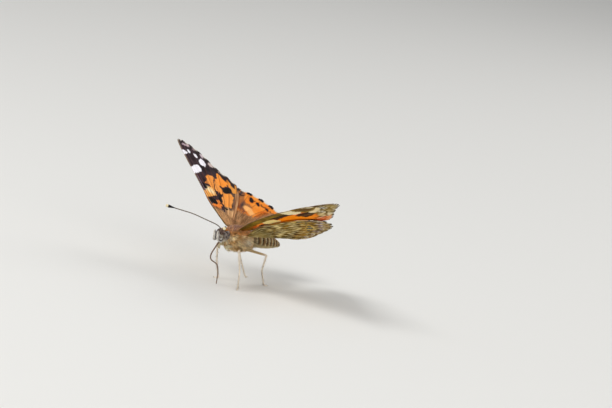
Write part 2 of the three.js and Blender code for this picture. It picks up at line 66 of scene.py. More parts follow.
# How far the camera is from the thorax, and how far right of it and above it the camera aims
DISTANCE, ASIDE, ABOVE = 650, 15.85, 7.35
LENS, SENSOR = 165.3, 36
facing = np.array([math.cos(RAISED) * math.sin(AROUND), -math.cos(RAISED) * math.cos(AROUND),
                   math.sin(RAISED)])
level_right = np.array([math.cos(AROUND), math.sin(AROUND), 0])
right_way = math.cos(TIPPED) * level_right + math.sin(TIPPED) * np.cross(facing, level_right)
top_way = np.cross(facing, right_way)
aim = DISTANCE * facing - ASIDE * right_way - ABOVE * top_way
camera_back = aim / np.linalg.norm(aim)
camera_right = np.cross(top_way, camera_back)
camera_right /= np.linalg.norm(camera_right)
camera_up = np.cross(camera_back, camera_right)
camera_data = bpy.data.cameras.new("camera")
camera_data.sensor_width = SENSOR
camera_data.lens = LENS
camera_data.clip_start, camera_data.clip_end = 0.01, 20
camera = bpy.data.objects.new("camera", camera_data)
camera.matrix_world = Matrix([[*axes, place] for *axes, place in zip(
    camera_right, camera_up, camera_back, (thorax_middle + DISTANCE * facing) * MM)] + [[0, 0, 0, 1]])
bpy.context.scene.collection.objects.link(camera)
bpy.context.scene.camera = camera


# Studio
# A matt pale floor under soft boxes: the key is up on the left of the camera, a broad fill on
# its right keeps the underside of the near wings clear, and a third lights the far edges.
def paint(code):
    """A colour code such as 8a6a4a as linear red, green and blue."""
    levels = np.array([int(code[i:i + 2], 16) for i in (0, 2, 4)]) / 255
    return np.where(levels > 0.04045, ((levels + 0.055) / 1.055) ** 2.4, levels / 12.92)


def soft_box(name, place, size, power):
    """A square area light at a place in mm from the thorax, turned to it."""
    data = bpy.data.lights.new(name, "AREA")
    data.size, data.energy = size, power
    lamp = bpy.data.objects.new(name, data)
    back = np.array(place) / np.linalg.norm(place)
    right = np.cross([0, 0, 1], back)
    right /= np.linalg.norm(right)
    stand = (thorax_middle + place) * MM
    lamp.matrix_world = Matrix([[*axes, at] for *axes, at in zip(
        right, np.cross(back, right), back, stand)] + [[0, 0, 0, 1]])
    bpy.context.scene.collection.objects.link(lamp)


soft_box("key_light", (-260, -420, 620), 0.35, 3.2)
soft_box("fill_light", (700, -350, 260), 0.7, 2.7)
soft_box("back_light", (150, 700, 500), 0.5, 2.0)
bpy.context.scene.world = bpy.data.worlds.new("studio")
bpy.context.scene.world.use_nodes = True
backdrop = bpy.context.scene.world.node_tree.nodes["Background"].inputs
backdrop["Color"].default_value = (0.93, 0.94, 0.95, 1)
backdrop["Strength"].default_value = 0.45
bpy.context.scene.view_settings.view_transform = "Standard"

floor_material = bpy.data.materials.new("pale_floor")
floor_material.use_nodes = True
floor_finish = floor_material.node_tree.nodes["Principled BSDF"].inputs
floor_finish["Base Color"].default_value = (0.78, 0.77, 0.74, 1)
floor_finish["Roughness"].default_value = 0.9
FLOOR = 3.0  # half of its side, in metres
floor_mesh = bpy.data.meshes.new("floor")
floor_mesh.from_pydata([(-FLOOR, -FLOOR, 0), (FLOOR, -FLOOR, 0), (FLOOR, FLOOR, 0), (-FLOOR, FLOOR, 0)],
                       [], [(0, 1, 2, 3)])
floor_mesh.materials.append(floor_material)
floor = bpy.data.objects.new("floor", floor_mesh)
bpy.context.scene.collection.objects.link(floor)


# Body skin
# The horny case of head, thorax and abdomen in one, dark brown under its scales. The head
# sits on a short neck, and the abdomen is eight rings that overlap like a telescope's.
HEAD_MIDDLE, HEAD_REACH, HEAD_WIDTH, HEAD_HEIGHT = 5.2, 1.25, 1.0, 1.3
THORAX_MIDDLE, THORAX_FRONT, THORAX_REAR = 0.1, 4.2, 4.9
THORAX_WIDTH, THORAX_HEIGHT, NECK = 1.85, 2.1, 0.8
ABDOMEN_START, ABDOMEN_ROUNDS, ABDOMEN_TIP, RINGS = -3.9, -14.9, -15.6, 8
WAIST, FULLEST, FULLEST_AT, NARROWING = 1.15, 1.8, 0.34, 0.78
JOINING = 8


def smooth(share):
    """0 below 0, 1 above 1, and an even S between."""
    held = np.clip(share, 0, 1)
    return held * held * (3 - 2 * held)


def blend(first, second, share):
    """From the first colour or colours to the second, by a share for each place."""
    return first + (second - first) * np.asarray(share)[..., None]


def mix(first, second, share):
    """From one colour code to another, by a share for each place."""
    return blend(paint(first), paint(second), share)


def painted(colours, code, share):
    """Colours with another laid over them, by a share for each place."""
    return blend(colours, paint(code), share)


def turns(count):
    """Even angles round a ring of a number of places."""
    return np.linspace(0, 2 * math.pi, count, endpoint=False)[None, :]


def oval(distance, reach):
    """The height of a round end of a given reach at a distance from its middle, 1 at most."""
    return np.sqrt(np.clip(1 - (distance / reach) ** 2, 0, 1))


def along_abdomen(forward):
    """0 at the abdomen's front and 1 at its tip."""
    return (ABDOMEN_START - forward) / (ABDOMEN_START - ABDOMEN_TIP)


def body_section(forward):
    """Half width, half height and middle of the body at places along it. Each part is a
    rounded form of its own, and the skin takes the JOINING root of the sum of their powers."""
    off = forward - THORAX_MIDDLE
    chest = oval(off, np.where(off > 0, THORAX_FRONT, THORAX_REAR))
    face = oval(forward - HEAD_MIDDLE, HEAD_REACH)
    neck = NECK * smooth((forward - 1) / 2) * smooth((5.6 - forward) / 0.8)
    t = along_abdomen(forward)
    swell = WAIST + (FULLEST - WAIST) * np.sin(np.clip(t / FULLEST_AT, 0, 1) * math.pi / 2)
    taper = 1 - NARROWING * np.clip((t - FULLEST_AT) / (1 - FULLEST_AT), 0, 1) ** 1.8
    ring = np.mod(t * RINGS, 1)
    lap = 1 + 0.05 * ring - 0.07 * np.exp(-(ring / 0.1) ** 2)
    belly = swell * taper * np.where(t > 0, lap, 1) * smooth((-forward - 0.5) / 2)
    belly = belly * oval(np.clip(ABDOMEN_ROUNDS - forward, 0, None), ABDOMEN_ROUNDS - ABDOMEN_TIP)
    wide, tall = (sum(part ** JOINING for part in parts) ** (1 / JOINING) for parts in (
        (THORAX_WIDTH * chest, HEAD_WIDTH * face, neck, belly),
        (THORAX_HEIGHT * chest, HEAD_HEIGHT * face, neck, 0.95 * belly)))
    middle = -0.25 * smooth((-2 - forward) / 2) - 0.9 * np.clip(t, 0, 1) ** 2
    return wide, tall, middle


def fan(rows, columns, around):
    """The quads of a grid of places, numbered row by row. Around joins each row's ends."""
    i, j = np.meshgrid(np.arange(rows - 1), np.arange(columns if around else columns - 1), indexing="ij")
    k = (j + 1) % columns
    return np.stack([i * columns + j, i * columns + k, (i + 1) * columns + k, (i + 1) * columns + j],
                    axis=-1).reshape(-1, 4)


def build(name, places, faces, material, colour=None, bake=None, face_material=None):
    """A mesh object from places in mm and arrays of quads and triangles."""
    mesh = bpy.data.meshes.new(name)
    mesh.vertices.add(len(places))
    mesh.vertices.foreach_set("co", (places * MM).astype(np.float32).ravel())
    corners = np.concatenate([part.ravel() for part in faces]).astype(np.int32)
    counts = np.concatenate([np.full(len(part), part.shape[1]) for part in faces])
    mesh.loops.add(len(corners))
    mesh.loops.foreach_set("vertex_index", corners)
    mesh.polygons.add(len(counts))
    starts = np.concatenate([[0], np.cumsum(counts)[:-1]])
    mesh.polygons.foreach_set("loop_start", starts.astype(np.int32))
    mesh.polygons.foreach_set("loop_total", counts.astype(np.int32))
    mesh.polygons.foreach_set("use_smooth", np.ones(len(counts), bool))
    if face_material is not None:
        mesh.polygons.foreach_set("material_index", face_material.astype(np.int32))
    mesh.update(calc_edges=True)
    if colour is not None:
        rgba = np.concatenate([colour, np.ones((len(colour), 1))], axis=1)
        marks = mesh.attributes.new("markings", "FLOAT_COLOR", "POINT")
        marks.data.foreach_set("color", rgba.astype(np.float32).ravel())
    if bake is not None:
        mesh.uv_layers.new(name="OFBake").data.foreach_set("uv", bake[corners].astype(np.float32).ravel())
    for finish in material if isinstance(material, list) else [material]:
        mesh.materials.append(finish)
    piece = bpy.data.objects.new(name, mesh)
    bpy.context.scene.collection.objects.link(piece)
    return piece


def round_form(name, rings, material, colour):
    """A closed form from rings of places, rows by columns. Each ring is joined round, both
    end rings are closed onto their middles, and the faces are turned out by the volume's sign."""
    rows, columns = rings.shape[:2]
    ends = [rings[0].mean(axis=0), rings[-1].mean(axis=0)]
    places = np.concatenate([rings.reshape(-1, 3), ends])
    walls = fan(rows, columns, True)
    j = np.arange(columns)
    k = (j + 1) % columns
    first = np.stack([np.full(columns, rows * columns), k, j], axis=-1)
    last = np.stack([np.full(columns, rows * columns + 1), (rows - 1) * columns + j,
                     (rows - 1) * columns + k], axis=-1)
    halves = np.concatenate([walls[:, :3], walls[:, [0, 2, 3]], first, last])
    a, b, c = (places[halves[:, i]] - places[0] for i in range(3))
    faces = [walls, first, last]
    if np.sum(a * np.cross(b, c)) < 0:
        faces = [part[:, ::-1] for part in faces]
    tints = np.concatenate([colour.reshape(-1, 3), [colour[0].mean(axis=0), colour[-1].mean(axis=0)]])
    return build(name, places, faces, material, tints)


def marked_finish(name, roughness, grain, spread, relief, gloss=0.5):
    """A material that takes its colour from the piece's markings, lightened and darkened by a
    fine noise of a grain in mm, which also stands out by a relief in mm."""
    material = bpy.data.materials.new(name)
    material.use_nodes = True
    tree = material.node_tree
    shader = tree.nodes["Principled BSDF"]
    shader.inputs["Roughness"].default_value = roughness
    shader.inputs["Specular IOR Level"].default_value = gloss
    marks = tree.nodes.new("ShaderNodeAttribute")
    marks.attribute_name = "markings"
    where = tree.nodes.new("ShaderNodeTexCoord")
    noise = tree.nodes.new("ShaderNodeTexNoise")
    noise.inputs["Scale"].default_value = 1 / (grain * MM)
    noise.inputs["Detail"].default_value = 3
    level = tree.nodes.new("ShaderNodeMapRange")
    for socket, value in zip(("From Min", "From Max", "To Min", "To Max"),
                             (0.3, 0.7, 1 - spread, 1 + spread)):
        level.inputs[socket].default_value = value
    tint = tree.nodes.new("ShaderNodeVectorMath")
    tint.operation = "SCALE"
    bump = tree.nodes.new("ShaderNodeBump")
    bump.inputs["Strength"].default_value = 1.0
    bump.inputs["Distance"].default_value = relief * MM
    link = tree.links.new
    link(where.outputs["Object"], noise.inputs["Vector"])
    link(noise.outputs["Fac"], level.inputs["Value"])
    link(marks.outputs["Color"], tint.inputs["Vector"])
    link(level.outputs["Result"], tint.inputs["Scale"])
    link(tint.outputs["Vector"], shader.inputs["Base Color"])
    link(noise.outputs["Fac"], bump.inputs["Height"])
    link(bump.outputs["Normal"], shader.inputs["Normal"])
    return material


def body_colour(forward, turn):
    """The coat's colour at places along and round the body, a turn of a quarter being its
    back: mauve brown on the back, straw at the sides and cream below. The abdomen's rings are
    edged with cream behind and dark in front, softer on its back, and the crown is rusty."""
    lift = np.sin(turn)
    tuft = 0.5 + 0.5 * np.sin(7 * turn + 2.2 * np.sin(1.9 * forward) + 1.3 * forward)
    chest = blend(mix("f6dfae", "cc9854", tuft), mix("dfa05c", "b0743e", tuft),
                  smooth((lift - 0.05) / 0.35))
    chest = blend(chest, mix("a07a6c", "c4946c", tuft), smooth((lift - 0.45) / 0.3))
    chest = painted(chest, "d39a5c", np.exp(-((lift - 0.62) / 0.1) ** 2) * 0.6)
    cream_flank = np.exp(-((lift + 0.3) / 0.3) ** 2 - ((forward + 1.2) / 2.4) ** 2)
    chest = painted(chest, "f1e8d2", cream_flank * tuft)
    olive_flank = np.exp(-((lift - 0.3) / 0.2) ** 2 - ((forward + 1.8) / 1.2) ** 2)
    chest = blend(chest, mix("a8863c", "7a5c2c", tuft), olive_flank * 0.5)
    t = along_abdomen(forward)
    ring = np.mod(t * RINGS + 0.12 * np.sin(3 * turn), 1)
    bold = 1 - 0.6 * smooth((lift - 0.35) / 0.4)
    dark_edge = smooth((0.42 - ring) / 0.2) * smooth(ring / 0.06)
    back = mix("9a7446", "2c1e10", dark_edge * bold)
    back = painted(back, "ecdcae", smooth((ring - 0.68) / 0.15) * 0.9 * bold)
    belly = painted(back, "cdb988", smooth((-lift - 0.4) / 0.35) * 0.85)
    coat = blend(chest, belly, smooth((t + 0.05) / 0.1))
    face = blend(mix("e2d8c4", "a08c78", tuft), mix("8d7468", "6c5448", tuft), smooth((lift + 0.2) / 0.5))
    face = painted(face, "c07a34", smooth((lift - 0.4) / 0.3) * smooth((6.0 - forward) / 0.6))
    return blend(coat, face, smooth((forward - 3.7) / 0.5))


SKIN_SHADE = 0.45
brow = HEAD_MIDDLE + HEAD_REACH * np.cos(np.linspace(0.12, 1.4, 16))
trunk = np.linspace(brow[-1] - 0.05, ABDOMEN_ROUNDS, 330)
tail = ABDOMEN_ROUNDS - (ABDOMEN_ROUNDS - ABDOMEN_TIP) * np.sin(np.linspace(0.1, 1.5, 12))
forward_rows = np.concatenate([brow, trunk, tail])[:, None]
TURNS = turns(96)
half_width, half_height, mid_height = body_section(forward_rows)
body_rings = on_body(forward_rows, half_width * np.cos(TURNS), mid_height + half_height * np.sin(TURNS))
horn = marked_finish("brown_horn", 0.55, 0.12, 0.35, 0.02, gloss=0.3)
body_skin = round_form("body_skin", body_rings, horn,
                       body_colour(*np.broadcast_arrays(forward_rows, TURNS)) * SKIN_SHADE)
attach(body_skin, "root")
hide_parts("thorax", "abdomen", "head")


# Coats of head, thorax and abdomen
# Hair and hair-like scales that root in the skin. Each lock is one tapered spike of a few
# hairs, long and silky on the thorax, short on the head and lying flat on the abdomen.
# Painted shade and light on every lock: its root ring is darkened for the shade deep in the coat, and its
# end is lightened as if lit.
ROOT_PAINTED_SHADE, END_PAINTED_LIGHT = 0.7, 1.12
LOCK_MAP = 0.003  # a lock's own corner of the bake map, as a share of its width


def grow_roots(grid, count, seed, weight, around=True):
    """Roots spread over a grid of places, by area and a weight for each row and column: their
    place, the ways out of the surface, down its rows and across them, and their shares."""
    if around:
        grid = np.concatenate([grid, grid[:, :1]], axis=1)
    down = grid[1:, :-1] - grid[:-1, :-1]
    over = grid[:-1, 1:] - grid[:-1, :-1]
    normal = np.cross(over, down)
    area = np.linalg.norm(normal, axis=-1)
    rows, columns = area.shape
    row_share, column_share = np.meshgrid((np.arange(rows) + 0.5) / rows,
                                          (np.arange(columns) + 0.5) / columns, indexing="ij")
    odds = (area * weight(row_share, column_share)).ravel()
    random = np.random.default_rng(seed)
    cell = random.choice(rows * columns, count, p=odds / odds.sum())
    i, j = np.divmod(cell, columns)
    u, v = random.random((2, count))
    place = grid[i, j] + u[:, None] * down[i, j] + v[:, None] * over[i, j]
    middle = grid.mean(axis=1)[i]
    out = normal[i, j] / area[i, j][:, None]
    if around:
        out *= np.sign(np.sum(out * (place - middle), axis=1))[:, None]
    way = down[i, j] / np.linalg.norm(down[i, j], axis=1)[:, None]
    return {"place": place, "out": out, "down": way, "across": np.cross(out, way),
            "row": (i + u) / rows, "column": (j + v) / columns, "random": random}


def locks(name, roots, rise, lean, length, width, bend, colour, material):
    """Tapered locks: from its root each goes out by rise and bends over to lean, along
    place + length * (t * (1 - bend * t) * rise + bend * t * t * lean), with three sides. Its
    seven corners are two rings of three and the end."""
    rise = rise / np.linalg.norm(rise, axis=1)[:, None]
    lean = lean / np.linalg.norm(lean, axis=1)[:, None]
    across = np.cross(roots["out"], lean)
    across = across / np.linalg.norm(across, axis=1)[:, None]
    flat = roots["out"]
    section = np.array([[-0.5, -0.2], [0.5, -0.2], [0, 0.3]])
    rings = []
    for t, full in ((0, 0.8), (0.5, 1), (1, 0)):
        centre = roots["place"] + length[:, None] * (t * (1 - bend * t) * rise + bend * t * t * lean)
        for x, y in section if full else section[:1] * 0:
            rings.append(centre + (full * width)[:, None] * (x * across + y * flat))
    places = np.stack(rings, axis=1)
    count = len(places)
    pattern = np.array([[0, 2, 1], [0, 1, 4], [0, 4, 3], [1, 2, 5], [1, 5, 4], [2, 0, 3], [2, 3, 5],
                        [3, 4, 6], [4, 5, 6], [5, 3, 6]])
    faces = (pattern[None] + 7 * np.arange(count)[:, None, None]).reshape(-1, 3)
    # Painted shade at each lock's root and painted light at its end.
    painted_shade_and_light = np.repeat([ROOT_PAINTED_SHADE, 1.0, END_PAINTED_LIGHT], [3, 3, 1])
    tints = (colour[:, None, :] * painted_shade_and_light[None, :, None]).reshape(-1, 3)
    leaf = np.array([[0, 0], [1, 0], [0.5, 0.2], [0.1, 0.5], [0.9, 0.5], [0.5, 0.7], [0.5, 1]]) * LOCK_MAP
    at_root = np.stack([roots["column"], roots["row"]], axis=1) * (1 - LOCK_MAP - 0.001)
    bake = (at_root[:, None, :] + leaf[None]).reshape(-1, 2)
    return build(name, places.reshape(-1, 3), [faces], material, tints, bake)


def streaked(colour, random, spread):
    """Each lock's own colour, lighter or darker by chance."""
    return colour * np.exp(spread * random.standard_normal(len(colour)))[:, None]


hair = marked_finish("silky_hair", 0.6, 0.06, 0.12, 0.0, gloss=0.15)
ROWS = len(forward_rows) - 1


def forward_of(row_share):
    """The place along the body of a share of its rows."""
    return np.interp(row_share * ROWS, np.arange(ROWS + 1), forward_rows[:, 0])


def body_coat(name, count, seed, front, rear, lengths, width, lift, bend, spread, droop=0.0):
    """A coat over the body between two places along it. Lengths are on the back and below, lift
    is how far a lock stands up, and droop how far it hangs at the sides and below."""
    roots = grow_roots(body_rings, count, seed,
                       lambda row, column: (forward_of(row) < front) & (forward_of(row) > rear))
    forward = forward_of(roots["row"])
    turn = roots["column"] * 2 * math.pi
    random = roots["random"]
    low = smooth((0.4 - np.sin(turn)) / 1.2)
    long = (lengths[0] + (lengths[1] - lengths[0]) * low) * random.uniform(0.7, 1.3, count)
    lean = roots["down"] + roots["across"] * random.normal(0, 0.25, count)[:, None]
    lean[:, 2] -= droop * low
    lean += roots["out"] * 0.12
    rise = roots["out"] * lift + lean * (1 - lift)
    tint = streaked(body_colour(forward, turn), random, spread)
    coat = locks(name, roots, rise, lean, long, width * random.uniform(0.7, 1.3, count), bend, tint, hair)
    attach(coat, "root")


body_coat("thorax_coat", 19000, 11, 4.1, -4.3, (1.1, 2.1), 0.062, 0.45, 0.65, 0.34, droop=0.8)
body_coat("abdomen_coat", 18000, 12, -3.6, -15.5, (0.5, 0.6), 0.065, 0.22, 0.7, 0.2)
body_coat("head_coat", 6500, 13, 6.5, 3.7, (0.4, 0.6), 0.05, 0.75, 0.4, 0.3)


# Eyes
# Large domes of many lenses, glossy grey brown, with darker blots and a pale rim below.
EYE_SIDE, EYE_RADII = 1.15, np.array([1.05, 0.65, 1.1])
eye_gloss = marked_finish("mottled_eye", 0.16, 0.25, 0.3, 0.004)
latitude = np.linspace(0.03, math.pi - 0.03, 60)[:, None]
for side, name in ((1, "left"), (-1, "right")):
    forward = EYES_FROM_THORAX[0] + EYE_RADII[0] * np.sin(latitude) * np.cos(TURNS)
    up = EYES_FROM_THORAX[2] + EYE_RADII[2] * np.sin(latitude) * np.sin(TURNS)
    out = side * (EYE_SIDE + EYE_RADII[1] * np.cos(latitude))
    blots = np.sin(5 * forward + 1) * np.sin(6 * up) + 0.4 * np.sin(11 * forward - 7 * up)
    tone = mix("66584e", "352b28", smooth(blots * 1.5))
    tone = painted(tone, "9c9080", smooth((-0.45 - up) / 0.5) * 0.7)
    eye = round_form("eyeball_" + name, on_body(forward, out, up), eye_gloss, tone)
    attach(eye, "root")
    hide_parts("eye_" + name)


# Palps
# A pair of brushes beside the tongue, three joints each under scales, white at the sides with
# a dark keel. They reach forward and turn up before the face.
HEAD_SOLID = np.array([1.35, 1.1, 1.45])
PALP_BEND, PALP_END = (7.1, 0.55, -1.3), (7.8, 0.52, 0.7)
PALP_RADIUS, PALP_SCALES = 0.25, 1500


def soft_way(points, step, soft):
    """Points along a way through corners, a step apart, its corners rounded over a length soft:
    a running mean of the straight way, with its ends carried on so that they stay in place."""
    points = np.asarray(points, float)
    gaps = np.linalg.norm(np.diff(points, axis=0), axis=1)
    reach = np.concatenate([[0], np.cumsum(gaps)])
    count = max(int(reach[-1] / step), 8)
    at = np.linspace(0, reach[-1], count)
    way = np.stack([np.interp(at, reach, points[:, k]) for k in range(3)], axis=1)
    window = max(int(soft / reach[-1] * count) // 2, 1)
    for _ in range(2):
        before = 2 * way[0] - way[window:0:-1]
        after = 2 * way[-1] - way[-2:-window - 2:-1]
        carried = np.concatenate([before, way, after])
        kernel = np.ones(2 * window + 1) / (2 * window + 1)
        way = np.stack([np.convolve(carried[:, k], kernel, "valid") for k in range(3)], axis=1)
    return way


def tube(way, radius, sides, level=(0.0, 0.0, 1.0), flat=1.0):
    """Rings round a way with a radius at each point. Across the ring is square to a level
    direction, where the tube is flat times as wide."""
    ahead = np.gradient(way, axis=0)
    ahead /= np.linalg.norm(ahead, axis=1)[:, None]
    first = np.cross(np.asarray(level, float), ahead)
    first /= np.linalg.norm(first, axis=1)[:, None]
    second = np.cross(ahead, first)
    turn = turns(sides)[..., None]
    return way[:, None] + np.asarray(radius)[:, None, None] * (
        flat * np.cos(turn) * first[:, None] + np.sin(turn) * second[:, None])


def head_surface(forward, side, up, off):
    """The place on the head's solid in a direction from its middle, and off from it by a gap."""
    way = np.array([forward, side, up])
    touch = way / np.linalg.norm(way / HEAD_SOLID)
    out = touch / HEAD_SOLID ** 2
    out /= np.linalg.norm(out)
    return touch + np.array([HEAD_MIDDLE, 0, 0]) + off * out


scaly = marked_finish("close_scales", 0.7, 0.05, 0.25, 0.012, gloss=0.2)
for side, name in ((1, "left"), (-1, "right")):
    socket = [head_surface(0.8, side * 0.55, -0.85, off) for off in (-0.2, 0.75)]
    corners = np.array([*socket, PALP_BEND * np.array([1, side, 1]), PALP_END * np.array([1, side, 1])])
    way = soft_way(on_body(*corners.T), 0.05, 0.9)
    t = np.linspace(0, 1, len(way))
    radius = PALP_RADIUS * np.minimum(1, np.minimum(0.75 + t, 0.2 + 2.4 * (1 - t)))
    rings = tube(way, radius, 16, level=(1, 0, 0))
    turn = turns(16) + 0 * t[:, None]
    tone = mix("ddd5c4", "3a2a1e", smooth((np.sin(turn) - 0.75) / 0.2))
    palp = round_form("palp_skin_" + name, rings, scaly, tone * 0.7)
    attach(palp, "root")
    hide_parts("palp_" + name)
    roots = grow_roots(rings, PALP_SCALES, 20 + side, lambda row, column: row < 0.98)
    random = roots["random"]
    keel = np.abs(np.sin(roots["column"] * 2 * math.pi))
    tone = mix("f0eae0", "5a4a50", smooth((keel - 0.86) / 0.1))
    aside = random.normal(0, 0.15, PALP_SCALES)[:, None]
    lean = roots["down"] + roots["out"] * 0.25 + roots["across"] * aside
    brush = locks("palp_scales_" + name, roots, lean + roots["out"] * 0.4, lean,
                  0.42 * random.uniform(0.7, 1.4, PALP_SCALES), np.full(PALP_SCALES, 0.05), 0.6,
                  streaked(tone, random, 0.15), hair)
    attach(brush, "root")


# Feelers
# Thin shafts of some forty joints, each dark with a narrow pale ring, that end in a flattened
# black club with a cream tip. They root in sockets between the eyes.
ANTENNA_TIPS = {"left": (16.6, 9.4, 3.1), "right": (16.5, -9.2, 3.7)}
SHAFT_RADIUS, CLUB_RADIUS, CLUB, JOINT, FEELER_STEP = 0.115, 0.34, 2.3, 0.36, 0.04
for name, tip in ANTENNA_TIPS.items():
    side = math.copysign(1, tip[1])
    socket = head_surface(0.45, side * 0.5, 1, 0.9)
    middle = (socket + tip) / 2 + (0, 0, 0.45)
    corners = np.array([head_surface(0.45, side * 0.5, 1, -0.3), socket, middle, tip])
    way = soft_way(on_body(*corners.T), FEELER_STEP, 1.6)
    run = np.linspace(0, 1, len(way)) * len(way) * FEELER_STEP
    left = run[-1] - run
    swell = smooth((CLUB - left) / (0.7 * CLUB)) * oval(np.clip(0.35 - left, 0, None), 0.36)
    ringed = 0.5 + 0.5 * np.cos(run / JOINT * 2 * math.pi)
    radius = SHAFT_RADIUS * (0.94 + 0.06 * ringed) + (CLUB_RADIUS - SHAFT_RADIUS) * swell
    radius = radius * oval(np.clip(0.12 - left, 0, None), 0.13)
    radius = radius + 0.1 * np.exp(-(run / 0.35) ** 2)
    rings = tube(way, np.maximum(radius, 0.01), 14, flat=1.1)
    shaft = mix("44352a", "b9a88a", smooth((ringed - 0.78) / 0.2) * 0.7)
    tone = painted(shaft, "15100d", smooth((CLUB + 0.1 - left) / 0.5))
    tone = painted(tone, "e9d9ae", smooth((0.62 - left) / 0.2))
    antenna = round_form("antenna_skin_" + name, rings, scaly, np.repeat(tone[:, None], 14, axis=1))
    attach(antenna, "root")
    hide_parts("antenna_" + name)


# Tongue
# Two half tubes zipped into one, brown and finely ringed, let down from its coil under the
# head. Its end rests on the floor.
TONGUE_WAY = [(6.99, -3.46), (7.97, -5.27), (7.34, -6.29), (4.82, -6.85), (3.7, -8.6)]
TONGUE_TIP = (0, -4.3)
TONGUE_STEP, TONGUE_RINGS, TONGUE_SIDES = 0.04, 0.16, 20
TONGUE_ROOT_RADIUS, TONGUE_NARROWS, GROOVE = 0.18, 0.07, 0.25
corners = [on_body(*head_surface(0.3, 0, -1, -0.3))]
corners += [on_body(forward, 0, up) for forward, up in TONGUE_WAY]
corners.append(np.array([thorax_middle[0] + TONGUE_TIP[0], thorax_middle[1] + TONGUE_TIP[1], 0.12]))
way = soft_way(corners, TONGUE_STEP, 1.8)
run = np.arange(len(way)) * TONGUE_STEP
ringed = np.sin(run * 2 * math.pi / TONGUE_RINGS)
rings = tube(way, (TONGUE_ROOT_RADIUS - TONGUE_NARROWS * run / run[-1]) * (1 + 0.04 * ringed),
             TONGUE_SIDES, level=(1, 0, 0))
groove = 1 - GROOVE * np.exp(-(np.sin((turns(TONGUE_SIDES) - math.pi / 2) / 2) / 0.12) ** 2)
rings = way[:, None] + (rings - way[:, None]) * groove[..., None]
rings[..., 2] = np.maximum(rings[..., 2], 0.01)
tone = mix("86664c", "4a3426", smooth(0.5 + ringed))
tongue_finish = marked_finish("smooth_horn", 0.38, 0.1, 0.2, 0.006)
tongue = round_form("tongue", rings, tongue_finish, np.repeat(tone[:, None], TONGUE_SIDES, axis=1))
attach(tongue, "root")
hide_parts("proboscis")


# Legs
# Four walking legs of thigh, shank and a foot of five joints with two claws, pale with flat
# scales and armed with short dark spines. The forelegs are short hairy brushes, folded up.
# Radii down the leg, and the foot's length
HIP, THIGH, SHANK, FOOT, SOLE = 0.4, 0.28, 0.19, 0.15, 0.135
FOOT_LENGTH = 1.0
SCALE_SIZE, SPINE_SIZE = 0.22, 0.42
LEG_SIDES, LEG_STEP, CLAW_SIDES, CLAW_ROWS = 14, 0.05, 8, 12
THORAX_SOLID = {"front": 4.3, "rear": 5, "width": 2.15, "height": 2.4}
# The hip is forward and aside on the thorax. The places of knee, ankle and heel are from the
# floor under the thorax's middle, and the last pair is the way that the foot points.
STANCE = {
    "midleg_left": ((-0.3, 1.2), (4.6, -4, 9.2), (5.2, -3.1, 4.6), (4.95, -2.3), (0.4, -0.9)),
    "midleg_right": ((-0.3, -1.2), (-6.1, 0.7, 8.1), (-5.2, 0.5, 4.05), (-4.4, 1.2), (-0.8, -0.5)),
    "hindleg_left": ((-2.1, 1.1), (4.55, 6.2, 7.85), (3.4, 6.95, 3.9), (3.1, 9), (0.4, 0.9)),
    "hindleg_right": ((-2.1, -1.1), (-4.4, 6, 8.1), (-4.6, 8.4, 4.1), (-4, 10.4), (-0.3, 1)),
}


def thorax_solid_section(forward):
    """Half width and half height of the thorax's solid at a place along it."""
    ahead = forward - THORAX_MIDDLE
    full = oval(ahead, THORAX_SOLID["front"] if ahead > 0 else THORAX_SOLID["rear"])
    return THORAX_SOLID["width"] * full, THORAX_SOLID["height"] * full


def under_thorax(forward, side, off):
    """A place off the thorax's solid by a gap, straight out from its underside."""
    wide, tall = thorax_solid_section(forward)
    up = -tall * oval(side, wide)
    out = np.array([0, side / wide ** 2, up / tall ** 2])
    return np.array([forward, side, up]) + off * out / np.linalg.norm(out)


def leg_surface(name, corners, sizes, seed, tones, hairs):
    """A leg's skin and its coat of scales. Sizes are the radii at the corners of its way."""
    way = soft_way(corners, LEG_STEP, 0.5)
    run = np.arange(len(way)) * LEG_STEP
    reach = np.concatenate([[0], np.cumsum(np.linalg.norm(np.diff(corners, axis=0), axis=1))])
    radius = np.interp(run / run[-1], reach / reach[-1], sizes)
    foot = (run / run[-1] - reach[-3] / reach[-1]) / (1 - reach[-3] / reach[-1])
    notch = np.where(foot > 0, np.exp(-((np.mod(foot * 5, 1) - 0.02) / 0.09) ** 2), 0)
    radius = radius * (1 - 0.22 * notch) * oval(np.clip(0.15 - (run[-1] - run), 0, None), 0.16)
    rings = tube(way, np.maximum(radius, 0.01), LEG_SIDES, level=(0.05, 0.9, 0.3))
    rings[..., 2] = np.maximum(rings[..., 2], 0.005)
    thigh = smooth((0.42 - run / run[-1]) / 0.12)
    tone = mix(tones[1], tones[0], thigh)
    skin = round_form(name + "_skin", rings, scaly, np.repeat(tone[:, None], LEG_SIDES, axis=1) * 0.95)
    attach(skin, "root")
    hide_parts(name)
    roots = grow_roots(rings, hairs, seed, lambda row, column: row < 0.97)
    random = roots["random"]
    is_spine = (random.random(hairs) < 0.05) & (roots["row"] > 0.45)
    tone = mix(tones[1], tones[0], smooth((0.42 - roots["row"]) / 0.12))
    tone = streaked(np.where(is_spine[:, None], paint("2b1e14"), tone), random, 0.2)
    lean = roots["down"] + roots["out"] * np.where(is_spine, 0.6, 0.06)[:, None]
    rise = lean + roots["out"] * np.where(is_spine, 0.5, 0.3)[:, None]
    long = np.where(is_spine, SPINE_SIZE, SCALE_SIZE) * random.uniform(0.7, 1.25, hairs)
    long = long * (1 + 0.8 * smooth((0.3 - roots["row"]) / 0.2))
    low = roots["place"][:, 2] < 0.5
    lean[low, 2] = np.maximum(lean[low, 2], 0)
    rise[low, 2] = np.maximum(rise[low, 2], 0)
    width = np.where(is_spine, 0.05, 0.06)
    coat = locks(name + "_scales", roots, rise, lean, long, width, 0.5, tone, hair)
    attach(coat, "root")
    return way


